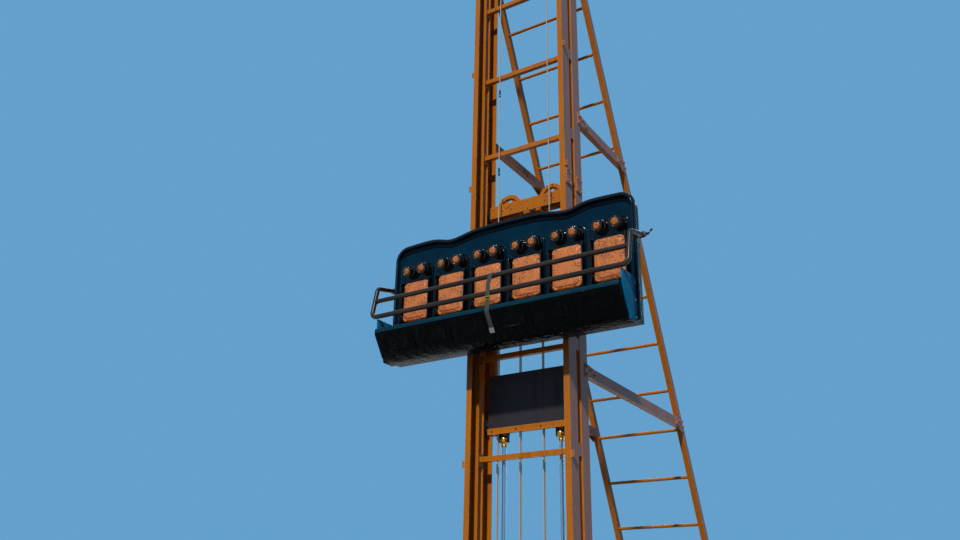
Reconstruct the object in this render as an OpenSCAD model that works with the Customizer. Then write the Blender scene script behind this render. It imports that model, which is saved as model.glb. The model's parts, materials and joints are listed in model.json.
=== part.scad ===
// Drop tower ride: a bench for six hangs in front of a twin column mast and is
// raised by two rams through a rope hoist. Millimetres, Z up, the bench faces -Y.
// The origin is on the floor, in the middle of the mast's foot.

/* [Mast] */
// Top of the mast columns above the floor
mast_height = 9450; // [9200:50:10400]
// Mast width over both columns
mast_width = 1150; // [1100:10:1300]
// Front to back size of one channel
channel_depth = 155; // [145:1:180]
// Inward reach of a channel's flanges
channel_flange = 61; // [50:1:70]
// Inward reach of the rearmost flange, which guides the lift frame
guide_flange = 73; // [65:1:90]
// Thickness of a channel's web
web_wall = 8; // [6:0.5:12]
// Thickness of a channel's flanges
flange_wall = 9; // [7:0.5:12]
// Gap between the front and the rear channel of one column
column_gap = 78; // [70:1:90]
// Height of the lowest rung between the columns
first_rung_z = 1260; // [1200:10:1500]
// Distance between the mast's rungs
rung_pitch = 1020; // [950:10:1100]
// Height of the joint between the mast's two sections
splice_z = 6100; // [6000:10:6300]
// Side of a rung's square section
rung_size = 50; // [40:1:54]

/* [Rear stay] */
// Lean of the rear rails from the vertical, in degrees
stay_lean = 25.6; // [22:0.1:28]
// Width of a rear rail
rail_width = 62; // [50:1:80]
// Depth of a rear rail, square to its length
rail_depth = 78; // [60:1:100]
// Height of the ladder's top rung
ladder_top_z = 8720; // [8600:10:8800]
// Distance between the ladder's rungs
ladder_pitch = 520; // [450:10:600]
// Diameter of the ladder's rungs
ladder_rung_d = 38; // [30:1:45]
// Heights of the level ties between mast and rails
lower_tie_z = 4100; // [3900:10:4300]
// Height of the upper ties
upper_tie_z = 6950; // [6800:10:7100]
// Height of a tie's section
tie_height = 105; // [80:1:130]

/* [Base frame] */
// Height of the base frame's beams
beam_height = 140; // [120:1:150]
// Flange width of the base frame's beams
beam_width = 140; // [120:1:160]
// Wall of the base frame's beams
beam_wall = 10; // [8:0.5:14]
// Reach of the base frame in front of the mast's middle
front_reach = 1150; // [1000:10:1300]
// Half the span of the side arms
arm_reach = 1200; // [1150:10:1400]

/* [Hoist] */
// Rope diameter
rope_d = 12; // [10:1:14]
// Distance of the ride ropes from the middle
ride_rope_x = 310; // [290:1:330]
// Pitch radius of the sheaves at the mast head
head_sheave_r = 150; // [150:1:170]
// Pitch radius of the sheaves on the lift frame
lift_sheave_r = 130; // [115:1:132]
// Distance of the lift frame's sheaves from the middle
lift_sheave_x = 260; // [256:1:266]
// Distance between a sheave's two grooves
groove_pitch = 26; // [22:1:30]
// Distance of the rams from the middle
ram_x = 316; // [312:1:320]
// Diameter of the ram's rod
rod_d = 42; // [36:1:46]
// Outer diameter of the ram's barrel
barrel_d = 94; // [86:1:98]
// Top of the ram's barrel
barrel_top_z = 2330; // [2250:10:2360]

/* [Bench car] */
// Height of the bench car's top in the resting position
ride_height = 5600; // [5500:10:5700]
// Width of the bench car over its edge bead
car_width = 2800; // [2740:10:2900]
// Height of the back shell
shell_height = 1300; // [1280:5:1330]
// Front to back size of the back shell
shell_depth = 140; // [120:1:150]
// Wall of the back shell
shell_wall = 10; // [8:0.5:14]
// Depth of the hollow in the shell's front, where the seat backs lie
face_recess = 55; // [45:1:60]
// Distance from the mast's front to the back shell
shell_gap = 70; // [60:1:90]
// Radius of the bead round the shell's edge
bead_r = 14; // [10:0.5:18]
// Depth of the two dips in the top edge
top_dip = 56; // [30:1:80]
// Distance between seats
seat_pitch = 446; // [425:1:448]
// Width of a back pad
pad_width = 336; // [300:1:344]
// Height of a back pad
pad_height = 460; // [400:1:470]
// Height of the seat above the car's lowest point
seat_height = 300; // [280:1:310]
// Distance from the shell's face to the bench's front edge
bench_reach = 340; // [325:1:360]

/* [Lap bar] */
// Diameter of the lap bar's tube
bar_d = 50; // [42:1:54]
// Height of the hinge above the lower tube
hinge_rise = 415; // [400:1:430]
// Height of the lower tube above the seat
bar_over_seat = 155; // [145:1:170]
// Distance of the lower tube in front of the shell's face
bar_reach = 300; // [290:1:310]
// Length of the upright part at each end
bar_upright = 352; // [340:1:370]
// Bend radius of the tube
bar_bend = 62; // [55:1:75]
// Diameter of the hinge pin
pin_d = 30; // [24:1:34]

/* [Hidden] */

// Circles are fine enough to count as round
$fn = 48;
// Running clearance round a pin, an axle or a rod
run_gap = 0.3;
// Clearance of a soft or curved piece from what it lies on
seat_gap = 0.3;
// Gap at a cut end that is welded to another piece
joint_gap = 0.1;
// Gap between the shell's edge and its bead
bead_gap = 0.5;
// Clearance of a guide roller from each flange
roller_gap = 6;

mast_half = mast_width / 2;
mast_depth = 2 * channel_depth + column_gap;
mast_front = -mast_depth / 2;
mast_rear = mast_depth / 2;
front_track_y = -(column_gap + channel_depth) / 2;
rear_track_y = -front_track_y;
foot_plate = 20;
foot_z = beam_height + foot_plate;

rail_x = mast_half - rail_width / 2;
rail_run = tan(stay_lean);
// Half of the rail's depth, measured level
rail_half_y = rail_depth / 2 / cos(stay_lean);
stay_top_z = mast_height - 67;
function rail_y(z) = mast_rear + (stay_top_z - z) * rail_run;
stay_foot_y = rail_y(beam_height);
rear_reach = stay_foot_y + rail_half_y + beam_width / 2;

upper_rung_z = splice_z + 580;
rung_y = 4;
rung_rear = rung_y + rung_size / 2;
ride_rope_y = -46;
rope_r = rope_d / 2;

lift_top = splice_z - 25;
lift_beam_h = 140;
lift_beam_z = lift_top - lift_beam_h;
lift_front = rung_rear + 15;
lift_plate_wall = 12;
lift_rear = mast_rear - 6;
lift_post_w = 60;
lift_post_x = lift_sheave_x + lift_sheave_r + rope_r + 14;
lift_side = lift_post_x + lift_post_w;
lift_sheave_z = lift_top - 20;
sheave_flange = 15;
sheave_half = groove_pitch / 2 + 13;
axle_r = 20;
plate_bottom = 3548;
plate_height = 602;
plate_edge = 60;
eye_r = 46;
eye_half = 32;
eye_wall = 12;
eye_neck = 28;
eye_cheek = 25;
eye_z = plate_bottom - eye_r - 4;
rod_top = eye_z - eye_r - eye_neck;

face_y = mast_front - shell_gap - shell_depth;
shell_rear = face_y + shell_depth;
shell_half = car_width / 2 - 2 * bead_r - bead_gap;
panel_wall = 22;
panel_reach = 292;
bench_half = shell_half - panel_wall;
bench_drop = shell_height + 30 - seat_height;
panel_top = bench_drop - 135;
bar_drop = bench_drop - bar_over_seat;
hinge_drop = bar_drop - hinge_rise;
bench_bottom = shell_height + 30;
back_plate = 25;
seat_x = [for (i = [0:5]) (i - 2.5) * seat_pitch];

hinge_y = face_y + 2 * bead_r + 26;
skin_y = face_y + face_recess;
bar_r = bar_d / 2;
bar_y = face_y - bar_reach;
bar_side_gap = 33;
bar_x = shell_half + 2 * bead_r + bar_side_gap;
pin_r = pin_d / 2;

orange = [0.62, 0.33, 0.10];
steel = [0.62, 0.63, 0.65];
dark = [0.10, 0.10, 0.11];
blue = [0.04, 0.14, 0.24];
pad_red = [0.72, 0.30, 0.20];

// A box given by its low and high corners
module span(low, high) {
    translate(low)
        cube(high - low);
}

// A copy on each side of the middle plane
module both_sides() {
    children();
    mirror([1, 0, 0])
        children();
}

// A side outline of (y, z) points, drawn from x0 to x1
module side_shape(points, x0, x1) {
    translate([x0, 0, 0])
        rotate([90, 0, 90])
            linear_extrude(x1 - x0)
                polygon(points);
}

// A front outline of (x, z) points, drawn from y0 to y1
module front_shape(points, y0, y1) {
    translate([0, y1, 0])
        rotate([90, 0, 0])
            linear_extrude(y1 - y0)
                polygon(points);
}

// A round piece along X, along Y or along Z
module round_x(r, x0, x1, y, z) {
    translate([x0, y, z])
        rotate([0, 90, 0])
            cylinder(r = r, h = x1 - x0);
}

module round_y(r, y0, y1, x, z) {
    translate([x, y1, z])
        rotate([90, 0, 0])
            cylinder(r = r, h = y1 - y0);
}

module round_z(r, z0, z1, x, y) {
    translate([x, y, z0])
        cylinder(r = r, h = z1 - z0);
}

// Corners of a rectangle with rounded corners, about its middle
function round_rect(w, h, r, n = 5) = [
    for (c = [[1, 1, 0], [-1, 1, 90], [-1, -1, 180], [1, -1, 270]])
        for (i = [0:n])
            [
                c[0] * (w / 2 - r) + r * cos(c[2] + 90 * i / n),
                c[1] * (h / 2 - r) + r * sin(c[2] + 90 * i / n)
            ]
];

function moved(points, by) = [for (p = points) p + by];

// Points of a line's left and right side, for a band of even thickness
function unit2(v) = v / norm(v);
function band_way(line, i) = unit2(line[min(i + 1, len(line) - 1)] - line[max(i - 1, 0)]);
function band_side(line, off) = [
    for (i = [0:len(line) - 1])
        line[i] + off * [-band_way(line, i)[1], band_way(line, i)[0]]
];
function band(line, t) = concat(
    band_side(line, t / 2),
    [for (i = [len(line) - 1:-1:0]) band_side(line, -t / 2)[i]]
);

// Beam section with two flanges, along X
function beam_section(w, h, t) = [
    [-w / 2, 0], [w / 2, 0], [w / 2, t], [t / 2, t], [t / 2, h - t], [w / 2, h - t],
    [w / 2, h], [-w / 2, h], [-w / 2, h - t], [-t / 2, h - t], [-t / 2, t], [-w / 2, t]
];

module beam_along_x(x0, x1, y) {
    side_shape(moved(beam_section(beam_width, beam_height, beam_wall), [y, 0]), x0, x1);
}

module beam_along_y(y0, y1, x) {
    front_shape(moved(beam_section(beam_width, beam_height, beam_wall), [x, 0]), y0, y1);
}

sill_x = mast_half - 15;
box_rear = mast_rear + 106;
box_front = mast_front - 26;

// Closed box under the mast, with its foot plate
module base_box() {
    color(orange) {
        span([-sill_x - beam_width / 2, box_front, 0], [sill_x + beam_width / 2, box_rear, beam_height]);
        span([-mast_half - 30, box_front, beam_height], [mast_half + 30, box_rear, foot_z]);
    }
}

module base_sills() {
    color(orange)
        both_sides() {
            beam_along_y(-front_reach, box_front, sill_x);
            beam_along_y(box_rear, rear_reach, sill_x);
        }
}

module base_cross_beams() {
    cross = sill_x - beam_width / 2;
    color(orange) {
        beam_along_x(-cross, cross, -front_reach + beam_width / 2);
        beam_along_x(-cross, cross, stay_foot_y);
        beam_along_x(-cross, cross, (box_rear + stay_foot_y) / 2);
        both_sides()
            beam_along_x(sill_x + beam_width / 2, arm_reach, 0);
    }
}

// Screw feet in sleeves at the ends of the arms and of the sills
foot_r = 55;
foot_off = foot_r + 8;

module levelling_foot(x, y) {
    round_z(foot_r, 0, 12, x + foot_off, y);
    round_z(15, 12, beam_height + 60, x + foot_off, y);
    difference() {
        union() {
            round_z(26, 30, beam_height, x + foot_off, y);
            span([x, y - 8, 30], [x + foot_off, y + 8, beam_height]);
        }
        round_z(14, 29, beam_height + 1, x + foot_off, y);
    }
    round_z(26, beam_height, beam_height + 16, x + foot_off, y, $fn = 6);
}

module levelling_feet() {
    color(steel)
        both_sides() {
            levelling_foot(arm_reach, 0);
            levelling_foot(sill_x + beam_width / 2, rear_reach - 60);
            levelling_foot(sill_x + beam_width / 2, -front_reach + 60);
        }
}

// Channel with its web outward, its flanges reaching in; y is its middle
module channel(y, inner_flange) {
    outer = mast_half;
    low = y - channel_depth / 2;
    high = y + channel_depth / 2;
    translate([0, 0, foot_z])
        linear_extrude(mast_height - foot_z)
            polygon([
                [outer, low], [outer, high],
                [outer - inner_flange, high], [outer - inner_flange, high - flange_wall],
                [outer - web_wall, high - flange_wall], [outer - web_wall, low + flange_wall],
                [outer - channel_flange, low + flange_wall], [outer - channel_flange, low]
            ]);
}

module right_front_channel() {
    color(orange)
        channel(front_track_y, channel_flange);
}

module right_rear_channel() {
    color(orange)
        channel(rear_track_y, guide_flange);
}

module left_front_channel() {
    mirror([1, 0, 0])
        right_front_channel();
}

module left_rear_channel() {
    mirror([1, 0, 0])
        right_rear_channel();
}

// Rungs lie in the gap between the channels, on blocks that join them
lower_rungs = [for (i = [0:4]) first_rung_z + i * rung_pitch];
upper_rungs = [for (i = [0:2]) upper_rung_z + i * rung_pitch];
rungs = [for (z = concat(lower_rungs, upper_rungs)) if (z < mast_height - 300) z];

module mast_rung(z) {
    inner = mast_half - channel_flange;
    span([-inner, rung_y - rung_size / 2, z - rung_size / 2],
         [inner, rung_y + rung_size / 2, z + rung_size / 2]);
    both_sides()
        span([inner, -column_gap / 2, z - 60], [mast_half - 4, column_gap / 2, z + 60]);
}

module mast_rungs() {
    color(orange)
        for (z = rungs)
            mast_rung(z);
}

// Lugs at the front outer corners, and plates over the joint of the two sections
lug_pitch = 1500;
lug_heights = [for (i = [-3:2]) splice_z + 130 + i * lug_pitch];

module mast_fittings() {
    lug_t = 12;
    color(orange)
        both_sides() {
            for (z = [for (h = lug_heights) if (h < mast_height - 60) h])
                translate([mast_half, mast_front + 22, z])
                    difference() {
                        span([0, -22, -32], [30, lug_t - 22, 32]);
                        round_y(8, -30, 0, 16, 0);
                    }
            for (y = [front_track_y, rear_track_y])
                span([mast_half, y - 60, splice_z - 90], [mast_half + 10, y + 60, splice_z + 90]);
        }
}

// Leaning rail, cut to the mast above and to the base frame below
module rear_rail() {
    low = beam_height;
    side_shape([
        [mast_rear, stay_top_z + rail_half_y / rail_run],
        [mast_rear, stay_top_z - rail_half_y / rail_run],
        [rail_y(low) - rail_half_y, low],
        [rail_y(low) + rail_half_y, low]
    ], rail_x - rail_width / 2, rail_x + rail_width / 2);
}

module right_rear_rail() {
    color(orange)
        rear_rail();
}

module left_rear_rail() {
    color(orange)
        mirror([1, 0, 0])
            rear_rail();
}

ladder_count = floor((ladder_top_z - 500) / ladder_pitch);
// The rungs of the ladder's middle length sit a little lower than the even pitch
mid_rungs = [5, 8];
mid_drop = 90;
function ladder_z(i) = ladder_top_z - i * ladder_pitch
    - (i >= mid_rungs[0] && i <= mid_rungs[1] ? mid_drop : 0);

module ladder_rungs() {
    reach = rail_x - rail_width / 2;
    color(orange)
        for (i = [0:ladder_count])
            round_x(ladder_rung_d / 2, -reach, reach, rail_y(ladder_z(i)), ladder_z(i));
}

module stay_ties() {
    color(orange)
        both_sides()
            for (z = [lower_tie_z, upper_tie_z]) {
                low = z - tie_height / 2;
                high = z + tie_height / 2;
                side_shape([
                    [mast_rear, low], [rail_y(low) - rail_half_y - joint_gap, low],
                    [rail_y(high) - rail_half_y - joint_gap, high], [mast_rear, high]
                ], rail_x - rail_width / 2, rail_x + rail_width / 2);
            }
}

// Bolted plates over the ends of the ties
module tie_gussets() {
    t = 8;
    color(orange)
        both_sides()
            for (z = [lower_tie_z, upper_tie_z]) {
                end_y = rail_y(z);
                side_shape([
                    [mast_rear - 58, z - 70], [mast_rear + 170, z - 44],
                    [mast_rear + 170, z + 44], [mast_rear - 58, z + 70]
                ], mast_half, mast_half + t);
                side_shape([
                    [end_y - 190, z - 44], [end_y - 20, z - 105],
                    [end_y + 52, z - 80], [end_y - 34, z + 100], [end_y - 190, z + 44]
                ], mast_half, mast_half + t);
            }
}

// Cross beams, cheeks and the axle that carries the head sheaves
head_axle_y = ride_rope_y + head_sheave_r;
head_axle_z = mast_height + head_sheave_r + 30;
head_sheave_half = 22;

module mast_head() {
    inner = mast_half - guide_flange - 2;
    color(orange) {
        for (y = [mast_front, mast_rear - 90])
            span([-mast_half, y, mast_height], [mast_half, y + 90, mast_height + 14]);
        span([-mast_half, mast_front, mast_height + 14], [mast_half, mast_front + 70, mast_height + 104]);
        both_sides()
            for (x = [ride_rope_x - head_sheave_half - 24, ride_rope_x + head_sheave_half + 12])
                side_shape([
                    [mast_front + 70, mast_height + 14], [mast_rear, mast_height + 14],
                    [head_axle_y + 62, head_axle_z + 10], [head_axle_y + 38, head_axle_z + 48],
                    [head_axle_y - 38, head_axle_z + 48], [mast_front + 70, mast_height + 100]
                ], x, x + 12);
        both_sides()
            round_x(axle_r, ride_rope_x - head_sheave_half - 34, ride_rope_x + head_sheave_half + 34,
                  head_axle_y, head_axle_z);
    }
}

// Sheave about the Z axis: hub, web with lightening holes, rim with its grooves
module sheave(pitch_r, half, grooves, bore) {
    rim = pitch_r + sheave_flange;
    bed = pitch_r - rope_r - seat_gap;
    difference() {
        rotate_extrude()
            polygon([
                [bore, -half - 4], [bore + 24, -half - 4], [bore + 24, -8], [bed - 20, -8],
                [bed - 20, -half], [rim, -half], [rim, half], [bed - 20, half],
                [bed - 20, 8], [bore + 24, 8], [bore + 24, half + 4], [bore, half + 4]
            ]);
        for (g = grooves)
            rotate_extrude()
                polygon([
                    [bed, g - 6], [rim + 1, g - 10], [rim + 1, g + 10], [bed, g + 6]
                ]);
        for (i = [0:5])
            rotate([0, 0, 60 * i + 30])
                translate([(bore + bed + 4) / 2, 0, -9])
                    cylinder(r = (bed - bore) / 2 - 28, h = 18);
    }
}

module head_sheaves() {
    color(steel)
        both_sides()
            translate([ride_rope_x, head_axle_y, head_axle_z])
                rotate([0, 90, 0])
                    sheave(head_sheave_r, head_sheave_half - 6, [0], axle_r + run_gap);
}

rope_foot_z = foot_z + 160;
clamp_drop = shell_height / 2 - 20;
clamp_low = clamp_drop + 60;
clamp_floor = 20;

// The turn of rope that lies on each reel at the head
module head_rope_turns() {
    color(steel)
        both_sides()
            translate([ride_rope_x, head_axle_y, head_axle_z])
                rotate([0, -90, 0])
                    rotate([0, 0, -90])
                        rotate_extrude(angle = 270)
                            translate([head_sheave_r, 0])
                                circle(r = rope_r, $fn = 16);
}

// Ropes from the reels down to the bench car's clamps
module ride_ropes() {
    color(steel)
        both_sides()
            round_z(rope_r, ride_height - clamp_low + clamp_floor, head_axle_z,
                    ride_rope_x, ride_rope_y, $fn = 16);
}

fall_x = [lift_sheave_x - lift_sheave_r, lift_sheave_x + lift_sheave_r];
fall_y = [rear_track_y - groove_pitch / 2, rear_track_y + groove_pitch / 2];

// Rope falls under the lift frame's sheaves
module hoist_falls() {
    color(steel)
        both_sides()
            for (x = fall_x)
                for (y = fall_y)
                    round_z(rope_r, rope_foot_z, lift_sheave_z, x, y, $fn = 16);
}

module rope_socket(x, y) {
    round_z(11, foot_z, rope_foot_z, x, y, $fn = 24);
    round_z(12.5, foot_z, foot_z + 50, x, y, $fn = 6);
}

module rope_sockets() {
    color(steel)
        both_sides() {
            for (x = fall_x)
                for (y = fall_y)
                    rope_socket(x, y);
        }
}

// Barrel with a foot flange, an oil port and a screwed gland
rod_r = rod_d / 2;
barrel_r = barrel_d / 2;
bore_r = barrel_r - 9;
gland_h = 90;
collar_h = 55;

module ram_barrel() {
    difference() {
        union() {
            round_z(barrel_r, foot_z, barrel_top_z - collar_h, 0, 0);
            round_z(barrel_r + 7, barrel_top_z - collar_h, barrel_top_z, 0, 0);
            round_z(barrel_r + 6, foot_z, foot_z + 25, 0, 0);
            round_y(14, -barrel_r - 20, 0, 0, foot_z + 70);
        }
        round_z(bore_r, foot_z + 30, barrel_top_z - gland_h, 0, 0);
        round_z(rod_r + run_gap, foot_z + 30, barrel_top_z + 1, 0, 0);
    }
}

module ram_barrels() {
    color(dark)
        both_sides()
            translate([ram_x, rear_track_y, 0])
                ram_barrel();
}

// Saddles that hold the barrels to the two lowest rungs
clamp_top = min(rungs[1] + 10, barrel_top_z - collar_h - 5);

module ram_clamps() {
    color(orange)
        both_sides()
            for (top = [rungs[0] + 25, clamp_top])
                difference() {
                    span([ram_x - 62, rung_rear, top - 60], [ram_x + 62, rear_track_y - 12, top]);
                    round_z(barrel_r + seat_gap, top - 61, top + 1, ram_x, rear_track_y);
                }
}

// Two plates with the sheaves between them, joined at the ends
module lift_beam() {
    color(orange) {
        for (y = [lift_front, lift_rear - lift_plate_wall])
            span([-lift_side, y, lift_beam_z], [lift_side, y + lift_plate_wall, lift_top]);
        both_sides() {
            span([lift_post_x, lift_front + lift_plate_wall, lift_beam_z],
                 [lift_side, lift_rear - lift_plate_wall, lift_top]);
            round_y(axle_r, lift_front + lift_plate_wall, lift_rear - lift_plate_wall,
                    lift_sheave_x, lift_sheave_z);
            round_y(axle_r + 12, lift_front + lift_plate_wall, rear_track_y - sheave_half - 5,
                    lift_sheave_x, lift_sheave_z);
            round_y(axle_r + 12, rear_track_y + sheave_half + 5, lift_rear - lift_plate_wall,
                    lift_sheave_x, lift_sheave_z);
            round_y(34, lift_front - 6, lift_front, lift_sheave_x, lift_sheave_z);
        }
        span([-30, lift_front + lift_plate_wall, lift_beam_z + 30],
             [30, lift_rear - lift_plate_wall, lift_top - 30]);
    }
}

module lift_posts() {
    color(orange)
        both_sides()
            span([lift_post_x, rear_track_y - 30, plate_bottom],
                 [lift_side, rear_track_y + 30, lift_beam_z]);
}

plate_y = rear_track_y - 56;
bracket_half = eye_half + 1 + eye_wall;

// Plate across the foot of the lift frame, with its edge strip and rod brackets
module lift_plate() {
    color([0.30, 0.24, 0.24]) {
        span([-lift_side, plate_y, plate_bottom], [lift_side, plate_y + 12, plate_bottom + plate_height]);
        span([-lift_side, lift_front, plate_bottom], [lift_side, plate_y, plate_bottom + plate_edge]);
        both_sides() {
            span([lift_post_x, plate_y + 12, plate_bottom + 40],
                 [lift_side, rear_track_y - 30, plate_bottom + plate_height - 40]);
            span([ram_x - bracket_half, plate_y + 12, plate_bottom],
                 [ram_x + bracket_half, rear_track_y + 32, plate_bottom + 110]);
            for (x = [ram_x - bracket_half, ram_x + bracket_half - eye_wall])
                span([x, rear_track_y - eye_cheek, eye_z - eye_cheek],
                     [x + eye_wall, rear_track_y + eye_cheek, plate_bottom]);
            round_x(15, ram_x - bracket_half - 6, ram_x + bracket_half + 6, rear_track_y, eye_z);
        }
    }
}

// Rod ends with a round eye on the bracket's pin
module rod_eyes() {
    color([0.72, 0.55, 0.18])
        both_sides()
            difference() {
                union() {
                    round_x(eye_r, ram_x - eye_half, ram_x + eye_half, rear_track_y, eye_z);
                    round_z(rod_r + 8, rod_top, rod_top + 40, ram_x, rear_track_y);
                }
                round_x(15 + run_gap, ram_x - eye_half - 1, ram_x + eye_half + 1, rear_track_y, eye_z);
            }
}

rod_foot = barrel_top_z - 1050;

module piston_rods() {
    color(steel)
        both_sides() {
            round_z(rod_r, rod_foot, rod_top, ram_x, rear_track_y);
            round_z(bore_r - 1, rod_foot - 50, rod_foot, ram_x, rear_track_y);
        }
}

roller_r = (channel_depth - 2 * flange_wall) / 2 - roller_gap;
roller_x0 = mast_half - channel_flange + 4;
roller_x1 = mast_half - web_wall - 12;

// Guide roller on a stub axle that stands on face x0
module guide_roller(x0, y, z) {
    difference() {
        round_x(roller_r, roller_x0, roller_x1, y, z);
        round_x(15, roller_x0 - 1, roller_x1 + 1, y, z);
    }
    round_x(15, x0, roller_x1 + 5, y, z);
    round_x(24, x0, x0 + 8, y, z);
}

module lift_rollers() {
    color(steel)
        both_sides()
            for (z = [plate_bottom + 110, lift_top - 70])
                guide_roller(lift_side, rear_track_y, z);
}

// The part of each rope that lies over a lift sheave
module sheave_rope_turns() {
    color(steel)
        both_sides()
            for (y = fall_y)
                translate([lift_sheave_x, y, lift_sheave_z])
                    rotate([90, 0, 0])
                        rotate_extrude(angle = 180)
                            translate([lift_sheave_r, 0])
                                circle(r = rope_r, $fn = 16);
}

module sheave_right() {
    color(orange)
        translate([lift_sheave_x, rear_track_y, lift_sheave_z])
            rotate([90, 0, 0])
                sheave(lift_sheave_r, sheave_half, [-groove_pitch / 2, groove_pitch / 2], axle_r + run_gap);
}

module sheave_left() {
    mirror([1, 0, 0])
        sheave_right();
}

// Everything on the bench car is measured down from its top
module on_car() {
    translate([0, 0, ride_height])
        children();
}

frame_y = skin_y + shell_wall;
frame_bar = 50;
post_y = frame_y + frame_bar;
post_x = lift_post_x;
side_plate_x = mast_half - channel_flange - 44;
roller_drops = [230, shell_height - 190];
cross_bar_drops = [330, shell_height - 280];
plate_top = 120;
// Lightening holes in the roller plates, evenly between the two rollers
hole_high = plate_top + 380;
hole_low = shell_height - 460;
hole_r = min(60, (hole_low - hole_high) / 4 - 8);

// Welded frame behind the back shell, with the plates that carry its rollers
module car_frame() {
    color(orange)
        on_car() {
            for (d = cross_bar_drops)
                span([-shell_half + 90, frame_y, -d - 30], [shell_half - 90, post_y, -d + 30]);
            span([-post_x, frame_y, -clamp_drop - 30], [post_x, post_y, -clamp_drop + 30]);
            both_sides() {
                span([post_x, frame_y, -shell_height + 60], [side_plate_x, shell_rear - 10, -plate_top]);
                difference() {
                    side_shape([
                        [frame_y, -shell_height + 60], [front_track_y - 40, -shell_height + 100],
                        [front_track_y + 44, -shell_height + 150], [front_track_y + 44, -shell_height + 330],
                        [front_track_y - 30, -shell_height + 460], [front_track_y - 30, -plate_top - 360],
                        [front_track_y + 44, -plate_top - 210], [front_track_y + 44, -plate_top - 50],
                        [front_track_y - 40, -plate_top], [frame_y, -plate_top]
                    ], side_plate_x, side_plate_x + 12);
                    for (d = [hole_high, (hole_high + hole_low) / 2, hole_low])
                        round_x(hole_r, side_plate_x - 1, side_plate_x + 13, front_track_y - 105, -d);
                }
            }
        }
}

module car_rollers() {
    color(dark)
        on_car()
            both_sides()
                for (d = roller_drops)
                    guide_roller(side_plate_x + 12, front_track_y, -d);
}

// Arms with the sockets that the ride ropes end in
module rope_clamps() {
    color(steel)
        on_car()
            both_sides()
                difference() {
                    union() {
                        span([ride_rope_x - 14, post_y, -clamp_drop - 25],
                             [ride_rope_x + 14, ride_rope_y - 10, -clamp_drop + 25]);
                        round_z(rope_r + 9, -clamp_low, -clamp_drop + 60, ride_rope_x, ride_rope_y);
                    }
                    round_z(rope_r + 1, -clamp_low + clamp_floor, -clamp_drop + 61, ride_rope_x, ride_rope_y);
                }
}

// Wavy top edge: two dips between the middle and the shoulders
dip_x = 0.498 * shell_half;
function dip_width(x) = abs(x) < dip_x ? 230 : 150;
function top_edge(x) = -top_dip * exp(-pow((abs(x) - dip_x) / dip_width(x), 2))
    - 24 * pow(abs(x) / shell_half, 4);

// Outward direction of the top edge at x
function top_way(x) = unit2([top_edge(x - 1) - top_edge(x + 1), 2]);

corner_r = 130;
edge_steps = 44;

// Outline of the shell, moved inward by e, down to the given depth below the top
function shell_outline(e, low) = let (
    half = shell_half - e,
    r = corner_r - e,
    cx = shell_half - corner_r,
    cz = top_edge(cx) - corner_r
) concat(
    [[half, -low]],
    [for (i = [0:8]) [cx + r * cos(90 * i / 8), cz + r * sin(90 * i / 8)]],
    [for (i = [1:edge_steps - 1]) let (x = cx - 2 * cx * i / edge_steps) [x, top_edge(x)] - e * top_way(x)],
    [for (i = [0:8]) [-cx - r * sin(90 * i / 8), cz + r * cos(90 * i / 8)]],
    [[-half, -low]]
);

// The shell's wall as rings from the middle of its face, over the lip, to its back:
// each is the inset, the place in Y and how far down it reaches
lip_r = 5;
cove = 26;
recess_low = bench_drop - 70;
shell_rings = concat(
    [for (a = [0:15:90]) [
        lip_r + 2 + cove * (1 - sin(a)), skin_y - (face_recess - lip_r) * (1 - cos(a)),
        recess_low - 8 * cos(a)
    ]],
    [
        [lip_r + 1, face_y, recess_low + 4], [lip_r, face_y, shell_height - lip_r],
        [lip_r * 0.3, face_y + lip_r * 0.3, shell_height - lip_r * 0.3],
        [0, face_y + lip_r, shell_height], [0, shell_rear, shell_height],
        [shell_wall, shell_rear, shell_height - shell_wall],
        [shell_wall, frame_y, shell_height - shell_wall]
    ]
);

// Closed skin over a row of rings that all have the same number of points
module ring_skin(rings) {
    n = len(rings[0]);
    last = len(rings) - 1;
    polyhedron(
        points = [for (ring = rings) each ring],
        faces = concat(
            [[for (j = [0:n - 1]) j]],
            [for (i = [0:last - 1]) for (j = [0:n - 1]) [
                (i + 1) * n + j, (i + 1) * n + (j + 1) % n, i * n + (j + 1) % n, i * n + j
            ]],
            [[for (j = [n - 1:-1:0]) last * n + j]]
        )
    );
}

// Moulded back shell: a hollow face, a rounded lip and a deep edge turned back
module back_shell() {
    color(blue)
        on_car()
            ring_skin([
                for (k = shell_rings)
                    [for (p = shell_outline(k[0], k[2])) [p[0], k[1], p[1]]]
            ]);
}

// Ring of a round bead at point i of a path in the face's plane
function edge_way(path, i) = unit2(path[min(i + 1, len(path) - 1)] - path[max(i - 1, 0)]);
function bead_ring(path, i, r, y, sides) = [
    for (j = [0:sides - 1]) let (
        way = edge_way(path, i),
        c = path[i] + [way[1], -way[0]] * r * cos(360 * j / sides)
    ) [c[0], y - r * sin(360 * j / sides), c[1]]
];

// Rubber bead outside the shell's front edge
module shell_bead() {
    path = shell_outline(-bead_r - bead_gap, shell_height);
    color(dark)
        on_car()
            ring_skin([
                for (i = [0:len(path) - 1]) bead_ring(path, i, bead_r, face_y + bead_r, 10)
            ]);
}

// Upright ribs on the shell's ends, below the hinge plates
rib_half = 9;
rib_high = 7;
rib_low = 30;

module shell_ribs() {
    color(blue)
        on_car()
            both_sides()
                for (i = [1:3])
                    translate([shell_half + seat_gap, face_y + i * shell_depth / 4, -shell_height + rib_low])
                        linear_extrude(shell_height - rib_low - hinge_drop - 90)
                            polygon([for (a = [-90:15:90]) [rib_high * cos(a), rib_half * sin(a)]]);
}

bench_front = face_y - bench_reach;

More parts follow.
